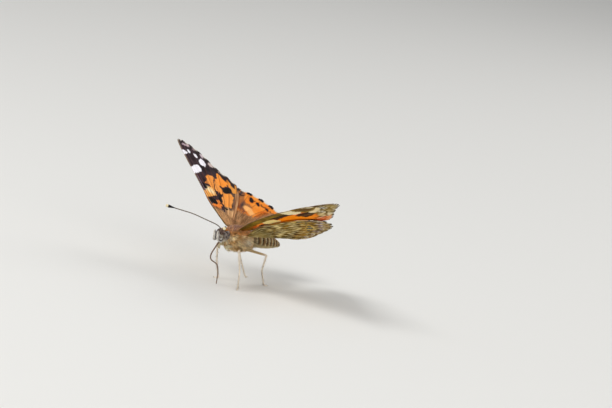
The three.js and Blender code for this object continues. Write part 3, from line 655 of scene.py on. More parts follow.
def claws(name, way):
    """Two hooked claws beside the end of a way: tubes that taper along a quarter turn."""
    ahead = way[-1] - way[-6]
    ahead[2] = 0
    ahead /= np.linalg.norm(ahead)
    apart = np.array([-ahead[1], ahead[0], 0])
    t = np.linspace(0, 1, CLAW_ROWS)[:, None]
    for side, word in ((1, "outer"), (-1, "inner")):
        hook = way[-1] - 0.1 * ahead + apart * side * (0.05 + 0.14 * t) + ahead * 0.34 * np.sin(t * 1.5)
        hook = hook + np.array([0, 0, 1]) * (0.02 - (way[-1][2] - 0.03) * t ** 2)
        rings = tube(hook, 0.055 * (1 - 0.9 * t[:, 0]), CLAW_SIDES)
        rings[..., 2] = np.maximum(rings[..., 2], 0.002)
        claw = round_form(f"{name}_claw_{word}", rings, tongue_finish,
                          np.broadcast_to(paint("2a1a10"), (CLAW_ROWS, CLAW_SIDES, 3)))
        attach(claw, "root")


floor_middle = np.array([*thorax_middle[:2], 0])
for number, (name, (hip, knee, ankle, heel, toe)) in enumerate(STANCE.items()):
    toe_way = np.array([*toe, 0]) / math.hypot(*toe) * FOOT_LENGTH
    heel_place = floor_middle + (*heel, SOLE)
    hip_places = on_body(*np.array([under_thorax(*hip, -0.3), under_thorax(*hip, 1.1)]).T)
    corners = np.array([*hip_places, floor_middle + knee, floor_middle + ankle, heel_place,
                        heel_place + toe_way])
    way = leg_surface(name, corners, (HIP, THIGH, SHANK * 1.1, FOOT, FOOT, SOLE), 30 + number,
                      ("c8ac80", "fff2e0"), 3200)
    claws(name, way)

for side, name in ((1, "foreleg_left"), (-1, "foreleg_right")):
    places = np.array([*(under_thorax(2.7, side * 0.85, off) for off in (-0.2, 0.8)),
                       (4.7, side * 1.1, -2.75), (3.4, side * 1.55, -3.5)])
    leg_surface(name, on_body(*places.T), (0.3, 0.27, 0.24, 0.16), 40 + side, ("dccaa6", "eadcba"), 1800)


# Wings
# Each is a clear membrane under two coats of scales, stiffened by hollow veins that stand up
# on both faces. A wing is blended from its leading edge, its margin and its inner edge, bows
# up along its length and dips between its veins. Where a pair overlaps, its wings settle
# together. Places on a wing are out along it and fore.

# "scallop" is the depth of the margin's notches between veins. "settle" is a rise, where across
# the wing it starts and how soon it is full. "cell" is where along the wing its cross vein is,
# and the veins that it joins. Each vein has its place across at the root and at the margin, and
# where along the wing it starts and ends.
FOREWING = {
    "length": 30, "bow": 0.72, "fold": 0, "scallop": 0.28,
    "settle": (-0.45, 0.3, 0.4), "cell": (0.5, 1, 4),
    "leading": [(0, 0.6), (4, 1.9), (9, 2.7), (15, 2.7), (21, 2.3), (26, 1.6), (29, 0.8), (30.2, -0.1)],
    "margin": [(30.2, -0.1), (30.2, -1.6), (28.9, -3.3), (26.4, -5.2), (24.2, -6.8), (22.2, -8.4),
               (20.3, -10.1), (18.5, -11.6), (16.4, -12.4)],
    "inner": [(0, -1.2), (4, -4.2), (8, -7.2), (12, -9.9), (16.4, -12.4)],
    "veins": [(0.1, 0.025, 0, 0.62), (0.22, 0.075, 0, 1), (0.36, 0.19, 0.5, 1), (0.48, 0.33, 0.5, 1),
              (0.62, 0.48, 0, 1), (0.68, 0.64, 0.42, 1), (0.74, 0.8, 0.28, 1), (0.88, 0.95, 0, 1)],
}
HINDWING = {
    "length": 18, "bow": 0.6, "fold": 0.2, "scallop": 0.4,
    "settle": (0.4, 0.5, -0.4), "cell": (0.45, 1, 4),
    "leading": [(0, 1), (3.7, 2.4), (9.3, 2.3), (14, 0.9), (16.4, -0.9)],
    "margin": [(16.4, -0.9), (17.7, -3.5), (17.9, -6.1), (17.2, -9.1), (15.6, -12), (13.3, -14.7),
               (10.5, -16.9), (7.6, -18.4), (5, -18.9), (3.4, -18)],
    "inner": [(0, -1), (1.3, -5.6), (2.2, -11.2), (2.6, -15.8), (3.4, -18)],
    "veins": [(0.08, 0.06, 0, 1), (0.22, 0.19, 0, 1), (0.34, 0.32, 0.45, 1), (0.44, 0.44, 0.45, 1),
              (0.54, 0.56, 0, 1), (0.6, 0.68, 0.38, 1), (0.66, 0.79, 0.25, 1), (0.8, 0.895, 0, 1),
              (0.92, 0.965, 0, 0.8)],
}
WING_THICKNESS, VEIN_HEIGHT, VEIN_WIDTH, PLEAT, MARGIN_SHARE = 0.1, 0.09, 0.13, 0.09, 0.98


def edge_curve(points, share):
    """Places at shares of the length of a smooth curve through points: a cubic from each to the
    next, whose slope at a point is half the way between its two neighbours."""
    points = np.array(points, float)
    last = len(points) - 1

    def at(t):
        i = np.minimum((t * last).astype(int), last - 1)
        w = (t * last - i)[..., None]
        a, b, c, d = (points[np.clip(i + k, 0, last)] for k in (-1, 0, 1, 2))
        pull, push = (c - a) / 2, (d - b) / 2
        return ((2 * (b - c) + pull + push) * w + 3 * (c - b) - 2 * pull - push) * w * w + pull * w + b

    fine = np.linspace(0, 1, 1200)
    run = np.concatenate([[0], np.cumsum(np.linalg.norm(np.diff(at(fine), axis=0), axis=1))])
    return at(np.interp(share, run / run[-1], fine))


def vein_shares(wing, along):
    """How far across the wing each of its veins is at places along it."""
    veins = np.array(wing["veins"])
    return veins[:, 1] + (veins[:, 0] - veins[:, 1]) * (1 - along[..., None]) ** 2


def wing_sheet(wing, across, along):
    """Places out, fore and up of the middle of the membrane, at shares across and along."""
    margin = edge_curve(wing["margin"], across)
    ends = np.concatenate([[0], np.array(wing["veins"])[:, 1], [1]])
    following = np.clip(np.searchsorted(ends, across), 1, len(ends) - 1)
    gap = ends[following] - ends[following - 1]
    share = (across - ends[following - 1]) / gap
    notch = wing["scallop"] * np.sin(share * math.pi) ** 2 * np.minimum(1, gap / 0.1)
    margin = margin * (1 - notch / np.linalg.norm(margin, axis=-1))[..., None]
    apex, corner = np.array(wing["margin"][0], float), np.array(wing["margin"][-1], float)
    flat = edge_curve(wing["leading"], along) * (1 - across[..., None])
    flat = flat + edge_curve(wing["inner"], along) * across[..., None]
    flat = flat + along[..., None] * (margin - apex - (corner - apex) * across[..., None])
    out = np.clip(flat[..., 0] / wing["length"], 0, 1.05)
    fold = wing["fold"] * smooth((across - 0.74) / 0.26) * smooth(along / 0.3)
    depth, start, reach = wing["settle"]
    settle = depth * smooth((across - start) / reach) * smooth(along / 0.25)
    settle = settle * (1 + 0.4 * smooth((along - 0.45) / 0.4))
    return np.concatenate([flat, (4 * wing["bow"] * out * (1 - out) - fold + settle)[..., None]], axis=-1)


def wing_grid(wing, rows, columns):
    """The membrane's grid with its shares, the height of its ridges, each place's distances
    from the veins, the number and width of its cell, how far across the cell it is, and mid,
    which is 0 at the cell's veins and 1 half way between them."""
    along, across = np.meshgrid(np.linspace(0, MARGIN_SHARE, rows), np.linspace(0, 1, columns),
                                indexing="ij")
    flat = wing_sheet(wing, across, along)
    veins = vein_shares(wing, along)
    width = np.linalg.norm(flat[:, -1:] - flat[:, :1], axis=-1)
    starts, stops = np.array(wing["veins"])[:, 2:].T
    standing = (smooth((along[..., None] - starts + 0.03) / 0.03)
                * smooth((stops + 0.04 - along[..., None]) / 0.04))
    away = (across[..., None] - veins) * width[..., None]
    ridge = np.max(standing * np.exp(-(away / VEIN_WIDTH) ** 2), axis=-1)
    crossing, first, last = wing["cell"]
    inside = (across > veins[..., first]) & (across < veins[..., last])
    over_cell = (across - veins[..., first]) / (veins[..., last] - veins[..., first])
    sag = 0.035 * np.sin(np.clip(over_cell, 0, 1) * math.pi)
    bar = np.exp(-((along - crossing + sag) * wing["length"] / VEIN_WIDTH) ** 2) * inside
    edges = np.concatenate([np.zeros_like(veins[..., :1]), veins, np.ones_like(veins[..., :1])], axis=-1)
    cell = np.clip(np.sum(across[..., None] >= edges[..., 1:-1], axis=-1), 0, edges.shape[-1] - 2)
    low = np.take_along_axis(edges, cell[..., None], axis=-1)[..., 0]
    high = np.take_along_axis(edges, cell[..., None] + 1, axis=-1)[..., 0]
    within = (across - low) / np.maximum(high - low, 1e-6)
    return {"flat": flat, "across": across, "along": along, "ridge": np.maximum(ridge, 0.8 * bar),
            "cell": cell, "within": within, "mid": 0.5 - 0.5 * np.cos(within * 2 * math.pi),
            "gap": (high - low) * width, "veins": away}


# Each hinge is forward and up from the thorax's middle, and its ends are before and behind that
HINGES = {"fore": (1.5, (0.6, -1.2), 1.7), "hind": (-1.5, (1, -1), 0.6)}
HINGE_GAP = 0.3
# The wing's side, and how far it is raised, swept forward and pitched, in degrees
HELD = {"forewing_left": (1, 26, 5.4, -1.5), "forewing_right": (-1, 30.4, -9.3, -0.4),
        "hindwing_left": (1, 26, -4, 0), "hindwing_right": (-1, 26.2, -3.1, 7)}


def held_wing(name, places):
    """Places on a wing as places in the row frame: pitched about its length, swept forward and
    raised, from its hinge beside the thorax."""
    side, raised, swept, pitched = HELD[name]
    forward, ends, up = HINGES[name[:4]]
    lift, turn, tilt = np.radians([raised, swept, pitched])

    def thorax_side(at):
        wide, tall = thorax_solid_section(at)
        return wide * oval(up, tall)

    def turned(first, second, angle):
        return (first * math.cos(angle) - second * math.sin(angle),
                first * math.sin(angle) + second * math.cos(angle))

    hinge_side = max(thorax_side(forward + end) + end * math.sin(turn) for end in ends) + HINGE_GAP
    out, fore, height = np.moveaxis(places, -1, 0)
    height, fore = turned(height, fore, tilt)
    out, fore = turned(out, fore, turn)
    out, height = turned(out, height, lift)
    return on_body(forward + fore, side * (hinge_side + out), up + height)


def wing_piece(name, grid, upper_colour, under_colour, finishes):
    """A thin closed sheet: the membrane with its veins raised on both faces, a dip between
    veins, and a rim that joins the faces. Its colours are given for each face."""
    pleat = PLEAT * smooth(grid["along"] / 0.5) * grid["mid"]
    flat = grid["flat"] - pleat[..., None] * np.array([0, 0, 1])
    normal = np.cross(np.gradient(flat, axis=0), np.gradient(flat, axis=1))
    normal /= np.maximum(np.linalg.norm(normal, axis=-1, keepdims=True), 1e-9)
    normal *= np.sign(normal[..., 2:])
    half = (WING_THICKNESS / 2 + VEIN_HEIGHT * grid["ridge"])[..., None]
    rows, columns = half.shape[:2]
    faces = held_wing(name, np.stack([flat + half * normal, flat - half * normal]))
    count = rows * columns
    top = fan(rows, columns, False)
    edge = np.concatenate([np.arange(columns), np.arange(1, rows) * columns + columns - 1,
                           count - 2 - np.arange(columns - 1), np.arange(rows - 2, 0, -1) * columns])
    onward = np.roll(edge, -1)
    rim = np.stack([onward, edge, edge + count, onward + count], axis=-1)
    walls = np.concatenate([top, top[:, ::-1] + count, rim])
    if HELD[name][0] > 0:
        walls = walls[:, ::-1]
    finish_of = np.concatenate([np.zeros(len(top)), np.ones(len(top)), np.ones(len(rim))])
    colour = np.concatenate([upper_colour.reshape(-1, 3), under_colour.reshape(-1, 3)])
    piece = build(name + "_skin", faces.reshape(-1, 3), [walls], finishes, colour,
                  face_material=finish_of)
    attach(piece, "root")
    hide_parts(name)
    return faces[0], faces[1]


def cloud(places, size, seed):
    """Even random hills over places out and fore, -1 to 1, one about every size in mm."""
    heights = np.random.default_rng(seed).uniform(-1, 1, (64, 64))
    at = places[..., :2] / size + 31.7
    i = np.floor(at).astype(int)
    u, v = np.moveaxis(smooth(at - i), -1, 0)
    a, b, c, d = (heights[(i[..., 0] + m) % 64, (i[..., 1] + n) % 64] for m in (0, 1) for n in (0, 1))
    return (a * (1 - v) + b * v) * (1 - u) + (c * (1 - v) + d * v) * u


def ragged(places, seed):
    """The unevenness of a mark's edge, in mm: single scales and small groups of them."""
    return 0.16 * cloud(places, 0.3, seed) + 0.2 * cloud(places, 0.9, seed + 1)


def spot(places, centre, size, turn=0, soft=0.1, seed=3):
    """The share of a colour in an oval mark: 1 inside it, 0 outside."""
    x, y = (places[..., k] - centre[k] for k in (0, 1))
    angle = math.radians(turn)
    u, v = x * math.cos(angle) + y * math.sin(angle), y * math.cos(angle) - x * math.sin(angle)
    inside = (1 - np.hypot(u / size[0], v / size[1])) * min(size) + 0.6 * ragged(places, seed)
    return smooth(inside / soft / 2 + 0.5)


def patch(places, corners, soft=0.12, rounding=0.3, seed=5):
    """The share of a colour in a mark with rounded corners, from the distance to its sides."""
    x, y = places[..., 0], places[..., 1]
    nearest, inside = np.full(x.shape, 99.0), np.zeros(x.shape, bool)
    for (ax, ay), (bx, by) in zip(corners, corners[1:] + corners[:1]):
        share = ((x - ax) * (bx - ax) + (y - ay) * (by - ay)) / ((bx - ax) ** 2 + (by - ay) ** 2)
        share = np.clip(share, 0, 1)
        nearest = np.minimum(nearest, np.hypot(x - ax - share * (bx - ax), y - ay - share * (by - ay)))
        if ay != by:
            inside ^= ((ay > y) != (by > y)) & (x < (bx - ax) * (y - ay) / (by - ay) + ax)
    depth = np.where(inside, nearest, -nearest) + rounding * 0.3 + ragged(places, seed)
    return smooth(depth / soft / 2 + 0.5)


WING_HAIR_LIFT, FRINGE = 0.18, 0.36


def wing_hair(name, face, other, tints, count, seed, weight, length, width):
    """Hair that roots on one face of a wing and lies along it from the hinge outwards. It has
    the face's own colours."""
    roots = grow_roots(face, count, seed, weight, around=False)
    random = roots["random"]
    away = (face - other).mean(axis=(0, 1))
    roots["out"] = roots["out"] * np.sign(roots["out"] @ away)[:, None]
    i = np.minimum((roots["row"] * (len(face) - 1)).astype(int), len(face) - 1)
    j = np.minimum((roots["column"] * (face.shape[1] - 1)).astype(int), face.shape[1] - 1)
    lean = roots["down"] + roots["across"] * random.normal(0, 0.1, count)[:, None] + roots["out"] * 0.05
    coat = locks(name, roots, lean + roots["out"] * WING_HAIR_LIFT, lean,
                 length * random.uniform(0.6, 1.4, count), width * random.uniform(0.7, 1.3, count), 0.6,
                 streaked(tints[i, j], random, 0.22), hair)
    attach(coat, "root")


def fringe(name, upper, under, tones, count, seed):
    """The hair-like scales past a wing's margin, chequered: pale between veins, dark at them."""
    random = np.random.default_rng(seed)
    rim, inside = (upper[-1] + under[-1]) / 2, (upper[-6] + under[-6]) / 2
    at = np.sort(random.random(count)) * (len(rim) - 1.001)
    i, share = at.astype(int), np.mod(at, 1)[:, None]
    place = rim[i] * (1 - share) + rim[i + 1] * share
    ahead = place - inside[i]
    ahead /= np.linalg.norm(ahead, axis=1)[:, None]
    out = (upper[-1] - under[-1])[i]
    out /= np.linalg.norm(out, axis=1)[:, None]
    across = np.cross(out, ahead)
    roots = {"place": place - 0.05 * ahead + 0.02 * out * random.normal(0, 1, count)[:, None], "out": out,
             "row": np.full(count, 0.99), "column": at / len(rim)}
    lean = (ahead + across * random.normal(0, 0.12, count)[:, None]
            + out * random.normal(0, 0.1, count)[:, None])
    comb = locks(name, roots, lean, lean, FRINGE * random.uniform(0.6, 1.25, count),
                 np.full(count, 0.06), 0.0, streaked(tones[i], random, 0.12), hair)
    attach(comb, "root")


def wing_scales(name):
    """Matt overlapping scales, given as a fine noise that lightens, darkens and raises the wing's markings.
    """
    return marked_finish(name, 0.75, 0.09, 0.16, 0.012, gloss=0.1)


def streaks(grid, seed):
    """Fine lines that run out from the hinge, -1 to 1."""
    fine = np.stack([np.linalg.norm(grid["flat"], axis=-1) * 0.18, grid["across"] * 26], axis=-1)
    return cloud(fine, 0.5, seed)


def on_veins(grid, width):
    """The share of a line along every vein."""
    return np.max(np.exp(-(grid["veins"] / width) ** 2), axis=-1)


# Forewings
# Above, the base is tan, the middle orange broken by black, and the tip black with a white bar
# and a row of white spots. Below, the same marks are paler, rosy at the base and olive at the tip.
grid = wing_grid(FOREWING, 241, 151)
flat, out, fore = grid["flat"], grid["flat"][..., 0], grid["flat"][..., 1]
random_tone = 0.5 + 0.5 * cloud(flat, 1.3, 51)
upper = mix("1b1314", "453238", random_tone * 0.8)
upper = painted(upper, "6b4c50", on_veins(grid, 0.12) * 0.4)
fine_lines = 0.5 + 0.5 * streaks(grid, 52)
tan = mix("a46f42", "e6b782", fine_lines)
rear_band = smooth((out - 6) / 2) * smooth((14.5 - out) / 2) * smooth((-fore - 0.35 * out - 2.6) / 0.5)
upper = painted(upper, "8a6850", rear_band * 0.9 * fine_lines)
base = smooth((5.2 - out + 0.7 * cloud(flat, 1.5, 54) + 2.6 * smooth((-fore - 1.6) / 1.8)
               + 0.8 * streaks(grid, 55)) / 1.6)
upper = blend(upper, tan, base)
inner_edge = smooth((grid["across"] - 0.91) / 0.03) * smooth((16 - out) / 3)
upper = blend(upper, blend(paint("a8714a"), tan, 0.6), inner_edge)
ORANGE_MARKS = [
    ("f27a0a", [(5.2, 1.9), (6.3, 2.4), (6.8, 0.7), (8.3, -0.5), (8.9, -1.7), (7.4, -1.5), (6.0, -0.7),
                (5.2, 0.4)]),
    ("f4a544", [(8.6, 2.9), (10.6, 2.9), (11.3, 1.5), (12.6, 0.3), (12.8, -0.9), (12.1, -1.5), (10.3, -1.3),
                (9.8, 0.0), (9.0, 1.4)]),
    ("c86a1a", [(13.8, 0.6), (14.4, 0.1), (15.0, -1.1), (13.6, -1.1)]),
    ("f08c2c", [(12.3, -1.5), (13.3, -0.9), (14.4, -0.9), (15.8, -1.1), (16.8, -1.5), (17.4, -3.2),
                (17.4, -4.3), (15.8, -3.3), (13.4, -2.3)]),
    ("f29338", [(11.4, -3.3), (12.2, -2.2), (13.6, -2.7), (15.6, -3.6), (15.4, -5.2), (14.3, -4.7),
                (13.2, -5.5), (11.7, -4.7)]),
    ("fb8a08", [(14.7, -5.4), (15.6, -3.7), (17.0, -4.8), (17.8, -6.1), (19.2, -6.6), (20.5, -7.4),
                (19.9, -8.6), (19.3, -9.7), (17.5, -9.1), (15.4, -7.9)]),
    ("f58f1c", [(15.5, -8.4), (17.5, -9.2), (19.1, -9.6), (18.3, -10.6), (16.8, -9.8), (15.6, -9.2)]),
    ("dc8a2a", [(13.6, -9.0), (15.4, -9.0), (16.8, -10.0), (17.9, -11.1), (16.6, -11.5), (14.6, -10.8),
                (13.5, -9.9)]),
    ("f6932f", [(7.2, -2.5), (8.2, -2.6), (10.0, -3.3), (12.0, -4.9), (12.9, -6.2), (12.9, -7.7),
                (11.6, -8.0), (9.6, -6.4), (7.2, -4.7)]),
]
ridged = 0.5 + 0.5 * streaks(grid, 56)
for number, (code, corners) in enumerate(ORANGE_MARKS):
    orange = blend(paint(code), paint("ffc27a"), 0.12 + 0.3 * ridged * random_tone)
    upper = blend(upper, orange, patch(flat, corners, seed=70 + number))
border = smooth((grid["along"] - 0.875 + 0.03 * cloud(flat, 1.0, 91)) / 0.03) * smooth((out - 11) / 2)
upper = painted(upper, "2a1f20", border * smooth((0.94 - grid["across"]) / 0.03))
upper = painted(upper, "fde6b4", spot(flat, (11.4, 0.4), (1.0, 1.3), turn=-30, soft=0.7) * 0.9)
mid_wing = smooth((out - 6) / 2) * smooth((20.5 - out) / 2)
upper = painted(upper, "5a2610", on_veins(grid, 0.085) * mid_wing * 0.85)
# Spots are given as a middle, two half lengths and a turn
BLACK_SPOTS = (((7.6, 1.2), (0.95, 1.35), -12), ((6.5, -3.0), (0.4, 0.7), 0),
               ((13.6, -6.9), (0.95, 2.1), 30), ((12.6, 1.9), (0.9, 1.2), -20),
               ((9.8, -2.4), (2.3, 0.55), -28))
for centre, size, turn in BLACK_SPOTS:
    upper = painted(upper, "17100f", spot(flat, centre, size, turn))
BAR = [(16.2, 2.9), (18.7, 2.6), (19.5, 1.2), (20.3, -0.4), (19.3, -1.1), (18.1, -0.2), (17.2, 1.2)]
FIRST_WHITE = [(23.2, 2.3), (25.1, 1.9), (25.4, 0.6), (24.4, 0.5)]
WHITE_SPOTS = (((25.5, -0.7), (0.8, 0.5), -30), ((24.3, -2.1), (0.95, 0.6), -25),
               ((21.9, -3.1), (1.55, 1.05), -25))
white = np.maximum(patch(flat, BAR, seed=80), patch(flat, FIRST_WHITE, seed=81))
for centre, size, turn in WHITE_SPOTS:
    white = np.maximum(white, spot(flat, centre, size, turn, seed=84))
upper = painted(upper, "f4f0f6", white)
PALE_SPOTS = (((28, -0.6), (0.45, 0.6), 20, "c3a8b0"), ((28.1, -1.9), (0.75, 0.4), -40, "d3b8ba"),
              ((26.9, -3.1), (0.5, 0.35), -40, "8d767c"), ((25, -4.7), (0.95, 0.55), -38, "dac6ce"),
              ((22.4, -6.2), (0.7, 1.0), 30, "dcc6c0"), ((20.9, -8.4), (0.6, 0.35), -45, "a88e84"))
for centre, size, turn, code in PALE_SPOTS:
    upper = painted(upper, code, spot(flat, centre, size, turn, soft=0.25, seed=86) * 0.9)
hem = smooth((grid["along"] - 0.955) / 0.02) * grid["mid"]
upper = painted(upper, "c9bcae", hem * 0.55)
costa = smooth((0.028 - grid["across"]) / 0.012) * smooth((out - 2) / 3)
upper = painted(upper, "b39a84", costa * (0.55 + 0.3 * streaks(grid, 88)) * (1 - white))
first_vein = np.exp(-(grid["veins"][..., 0] / 0.1) ** 2) * smooth((out - 9) / 2) * smooth((17 - out) / 2)
upper = painted(upper, "8d7484", first_vein * 0.7)

# Below. The rear part is seen so flat that its marks are placed further forward than above
olive = mix("5e430b", "9c7c1e", 0.5 + 0.5 * cloud(flat, 1.1, 91))
under = blend(mix("d9530e", "f08a2c", random_tone), olive, smooth((out - 16.5 + 0.45 * fore) / 1.6))
under = blend(under, olive, smooth((fore + 0.3 + 0.06 * out) / 0.6))
under = painted(under, "7c5a12", smooth((3.5 - out) / 1.5) * 0.8)
UNDER_MARKS = [
    ("fb8c00", [(9.4, -3.0), (11.2, -2.2), (14.2, -2.4), (15.2, -6.4), (17.0, -8.0), (17.0, -9.6),
                (14.0, -10.8), (11.6, -9.6), (9.0, -7.6)]),
    ("cf4a10", [(2.4, -2.8), (4.2, -3.4), (6.4, -4.0), (8.6, -5.6), (9.6, -7.6), (7.6, -6.9), (4.6, -4.8)]),
    ("e8d48a", [(6.7, -0.6), (8.6, -0.3), (9.6, -1.8), (9.6, -3.6), (8.4, -4.6), (7.0, -3.9), (6.5, -2.2)]),
    ("33200a", [(9.6, 0.3), (15.0, 0.2), (15.0, -2.2), (13.4, -2.3), (11.0, -2.0), (9.8, -2.4),
                (9.7, -1.2)]),
    ("2a1908", [(14.1, -3.9), (16.4, -3.2), (18.6, -4.2), (18.0, -6.2), (16.4, -7.2), (14.6, -7.0)]),
    ("f3e4b8", [(15.0, -3.0), (14.8, -0.6), (15.3, 2.9), (18.2, 2.6), (18.0, 0.0), (18.0, -1.4),
                (16.6, -3.0)]),
    ("efdcae", [(17.8, -5.0), (18.4, -3.6), (20.2, -3.4), (22.0, -2.0), (24.2, -0.3), (24.4, -1.2),
                (21.6, -4.0), (20.2, -5.6), (18.4, -5.8)]),
    ("5b3c0c", [(19.0, 1.8), (22.6, 1.6), (23.0, -0.6), (20.4, -2.2), (18.8, -2.4)]),
    ("c9ac6c", [(16.8, -8.9), (18.0, -7.4), (19.6, -6.4), (20.8, -6.6), (19.2, -8.6), (17.0, -10.6),
                (16.0, -10.8)]),
    ("eadcb4", [(21.8, 2.3), (24.0, 2.0), (24.4, 0.8), (23.0, 0.7)]),
    ("3a2510", [(24.2, 1.9), (27.6, 1.3), (28.2, 0.4), (24.8, 0.5)]),
    ("e0cfa6", [(16.8, -11.8), (17.8, -10.8), (19.8, -9.2), (20.3, -9.6), (18.4, -11.4)]),
]
rear = np.minimum(fore, 0)
marked = np.stack([out + 0.37 * rear, np.where(fore < 0, fore / 0.7, fore)], axis=-1)
for number, (code, corners) in enumerate(UNDER_MARKS):
    under = painted(under, code, patch(marked, corners, soft=0.2, seed=100 + number) * 0.95)
UNDER_SPOTS = (((5.5, -2.2), (1.2, 0.85)), ((7.9, -5.3), (0.9, 0.5)), ((10.4, -7.9), (1.1, 1.0)),
               ((16.0, -10.4), (1.5, 0.5)))
for centre, size in UNDER_SPOTS:
    under = painted(under, "1d1009", spot(marked, centre, size, -40))
EYESPOTS = (((25.3, -1.0), 0.75), ((24.2, -2.5), 0.75), ((21.6, -4.9), 0.6))
for centre, size in EYESPOTS:
    for code, share in (("e3dac0", 1.25), ("3a2b16", 0.95), ("d9dde2", 0.35)):
        oval_size = (size * share * 1.1, size * share * 0.8)
        under = painted(under, code, spot(flat, centre, oval_size, -30, seed=120))
under = painted(under, "d9c184", on_veins(grid, 0.09) * smooth((out - 14) / 4) * 0.35)
uneven = 0.03 * grid["mid"] + 0.02 * cloud(flat, 1.4, 93)
MARGIN_LINES = ((0.85, "4a3410", 0.7), (0.89, "f0e0b8", 0.6), (0.925, "3a2810", 0.7),
                (0.958, "e6d4a4", 0.6))
for middle, code, strength in MARGIN_LINES:
    line = np.exp(-((grid["along"] - middle + uneven) / 0.016) ** 2) * (0.6 + 0.5 * cloud(flat, 1.1, 94))
    under = painted(under, code, np.clip(line, 0, 1) * smooth((out - 15) / 3) * strength)
costa = smooth((0.03 - grid["across"]) / 0.012)
under = painted(under, "6e5230", costa * (0.6 + 0.4 * cloud(flat, 1.4, 92)))
under = painted(under, "d8ccb0", hem * 0.6)

forewing_finishes = [wing_scales("forewing_upper_scales"), wing_scales("forewing_under_scales")]
fringe_tone = mix("46372c", "e9e0cc", smooth((grid["mid"][-1] - 0.35) / 0.3))


def near_base(row, column):
    """Where a forewing's hair stands: a band beside the hinge."""
    return smooth((0.2 - row) / 0.1)


for number, name in enumerate(("forewing_left", "forewing_right")):
    upper_face, under_face = wing_piece(name, grid, upper, under, forewing_finishes)
    fringe(name + "_fringe", upper_face, under_face, fringe_tone, 1500, 130 + number)
    wing_hair(name + "_hair", upper_face, under_face, upper, 3500, 140 + number,
              near_base, 0.9, 0.05)
    wing_hair(name + "_under_hair", under_face, upper_face, under, 1500, 142 + number,
              near_base, 1.0, 0.05)


# Hindwings
# Above, orange with a row of round black spots and dark spots along the margin, under long tan
# hair near the body. Below, a marbling of olive, ochre and cream with pale veins and five
# eyespots before a lilac line.
grid = wing_grid(HINDWING, 191, 191)
flat, out, fore = grid["flat"], grid["flat"][..., 0], grid["flat"][..., 1]
middle_of_cell = grid["mid"]
upper = mix("e87508", "f79a3c", 0.5 + 0.5 * cloud(flat, 1.6, 151))
tan = mix("9a6c42", "e2ae7a", 0.5 + 0.5 * streaks(grid, 152))
haze = 0.08 * cloud(flat, 2, 153) + 0.03 * streaks(grid, 154)
hairy = np.maximum(smooth((0.52 - grid["along"] + haze) / 0.12),
                   smooth((grid["across"] - 0.8) / 0.07) * smooth((0.95 - grid["along"]) / 0.15))
upper = painted(upper, "7c4418", on_veins(grid, 0.09) * 0.55)
# The first mark, a grey band along where the forewing lies over the hindwing, is partly the hindwing's own
# dark band and partly painted shadow of the forewing. The others are its own dark marks.
DARK_MARKS_AND_SHADOW = [
    ("3b3438", [(6.0, -5.6), (8.7, -6.4), (11.2, -8.4), (14.2, -11.2), (15.0, -12.8), (13.4, -12.4),
                (10.8, -10.2), (8.4, -8.9), (6.4, -7.4)]),
    ("6a5340", [(7.6, -9.6), (9.4, -9.6), (9.1, -10.9), (7.5, -10.7)]),
    ("1e1614", [(9.0, 1.3), (11.6, 1.0), (12.2, -2.4), (10.6, -2.0), (9.3, -0.6)]),
    ("1e1614", [(13.4, 0.8), (15.0, 0.0), (17.2, -3.4), (15.8, -3.0)]),
]
upper = blend(upper, tan, hairy)
# Dark marks, the first of them partly painted shadow of the forewing.
for number, (code, corners) in enumerate(DARK_MARKS_AND_SHADOW):
    mark = patch(flat, corners, soft=0.35, seed=160 + number)
    upper = painted(upper, code, mark * (0.75 + 0.25 * streaks(grid, 155)))
PALE_PATCH = [(5.2, -8.2), (8.0, -8.0), (8.7, -9.2), (7.2, -10.2), (5.4, -9.8)]
upper = painted(upper, "fbb66c", patch(flat, PALE_PATCH, soft=0.4, seed=168))
ROUND_SPOTS = (((13.7, -9.4), (0.7, 0.5), -50), ((10.8, -12.6), (1.05, 0.55), -30),
               ((9.1, -13.5), (0.68, 0.45), -25), ((7.3, -15.1), (0.6, 0.45), -15),
               ((5.6, -16.2), (0.4, 0.32), 0))
for centre, size, turn in ROUND_SPOTS:
    halo = spot(flat, centre, (size[0] * 1.5, size[1] * 1.6), turn, soft=0.2, seed=169)
    upper = painted(upper, "c8640e", halo * 0.6)
    upper = painted(upper, "1a1016", spot(flat, centre, size, turn, seed=170))
between_veins = smooth((middle_of_cell - 0.35) / 0.3)
crescent = np.exp(-((grid["along"] - 0.895 + 0.025 * middle_of_cell) / 0.016) ** 2) * between_veins
upper = painted(upper, "1f1411", crescent * smooth((0.9 - grid["across"]) / 0.1) * 0.95)
at_ends = np.max(np.exp(-(grid["veins"] / 0.75) ** 2), axis=-1) * smooth((grid["along"] - 0.915) / 0.03)
end_spots = smooth((at_ends - 0.45) / 0.25) * smooth((0.93 - grid["across"]) / 0.05)
upper = painted(upper, "1d1413", end_spots)
hem = smooth((grid["along"] - 0.962) / 0.012)
upper = painted(upper, "dfcfb2", hem * between_veins * 0.8)

# Below. Bands that follow the margin are given by a middle and half width along the wing
marble = cloud(flat, 1.2, 181) + 0.8 * cloud(flat, 0.55, 182)
under = mix("4e3804", "946e10", 0.5 + 0.5 * cloud(flat, 2.2, 183))
under = painted(under, "382303", smooth(marble * 1.6 - 0.1) * 0.9)
under = painted(under, "dcc47c", smooth(-marble * 1.6 - 0.45) * 0.75)
wave = grid["along"] + 0.035 * np.cos(grid["within"] * 2 * math.pi) + 0.035 * cloud(flat, 2.6, 184)
UNDER_BANDS = ((0.13, 0.025, "d3bc6c", 0.7), (0.24, 0.03, "e3cf8a", 0.8), (0.33, 0.03, "40290a", 0.85),
               (0.41, 0.035, "eedb9c", 0.8), (0.5, 0.04, "8a6a14", 0.8), (0.57, 0.03, "e6cf90", 0.75),
               (0.635, 0.022, "452c08", 0.8), (0.74, 0.07, "b5842a", 0.75), (0.845, 0.016, "5a3c10", 0.7),
               (0.875, 0.018, "b09aa6", 0.8), (0.908, 0.012, "f2e2b8", 0.85), (0.937, 0.014, "96682a", 0.9),
               (0.966, 0.012, "dcc49a", 0.8))
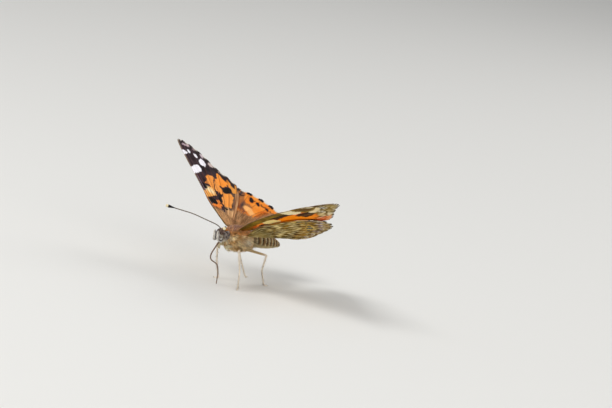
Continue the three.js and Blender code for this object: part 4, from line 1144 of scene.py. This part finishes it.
for middle, half, code, strength in UNDER_BANDS:
    broken = 0.6 + 0.7 * cloud(flat, 0.8, 190 + int(100 * middle))
    band = np.exp(-(np.abs(wave - middle) / half) ** 3) * broken
    under = painted(under, code, np.clip(band, 0, 1) * strength)
reach = np.linalg.norm(flat[..., :2], axis=-1) / np.maximum(grid["along"], 0.05)
from_middle = np.hypot((grid["along"] - 0.75) * reach, (grid["within"] - 0.5) * grid["gap"])
OUTSIDE = 9
EYESPOT_RADII = {1: 0.8, 2: 0.5, 3: 0.55, 4: 0.9, 5: 0.5}
for cell, radius in EYESPOT_RADII.items():
    away = np.where(grid["cell"] == cell, from_middle, OUTSIDE) + 0.3 * ragged(flat, 195)
    for code, share in (("c8a548", 1.3), ("1c150d", 0.95), ("5e7378", 0.5), ("14100c", 0.22)):
        under = painted(under, code, smooth((radius * share - away) / 0.12))
pale_veins = on_veins(grid, 0.13) * (0.5 + 0.4 * cloud(flat, 1.2, 197))
under = painted(under, "e8d396", np.clip(pale_veins, 0, 1))
under = painted(under, "7a6a4a", hem * (1 - middle_of_cell) * 0.7)

hindwing_finishes = [wing_scales("hindwing_upper_scales"), wing_scales("hindwing_under_scales")]
fringe_tone = mix("3f3026", "eae2ce", smooth((middle_of_cell[-1] - 0.3) / 0.3))


def long_hair(row, column):
    """Where a hindwing's hair stands above: near the hinge, and thickest by the inner edge."""
    return smooth((0.45 - row) / 0.15) + 2.5 * smooth((column - 0.78) / 0.1) * smooth((0.85 - row) / 0.2)


def short_hair(row, column):
    """Where a hindwing's hair stands below."""
    return smooth((0.3 - row) / 0.15) + smooth((column - 0.88) / 0.08) * smooth((0.9 - row) / 0.2)


for number, name in enumerate(("hindwing_left", "hindwing_right")):
    upper_face, under_face = wing_piece(name, grid, upper, under, hindwing_finishes)
    fringe(name + "_fringe", upper_face, under_face, fringe_tone, 2200, 200 + number)
    wing_hair(name + "_hair", upper_face, under_face, upper, 7000, 210 + number,
              long_hair, 1.7, 0.06)
    wing_hair(name + "_under_hair", under_face, upper_face, under, 2500, 212 + number,
              short_hair, 1.0, 0.05)
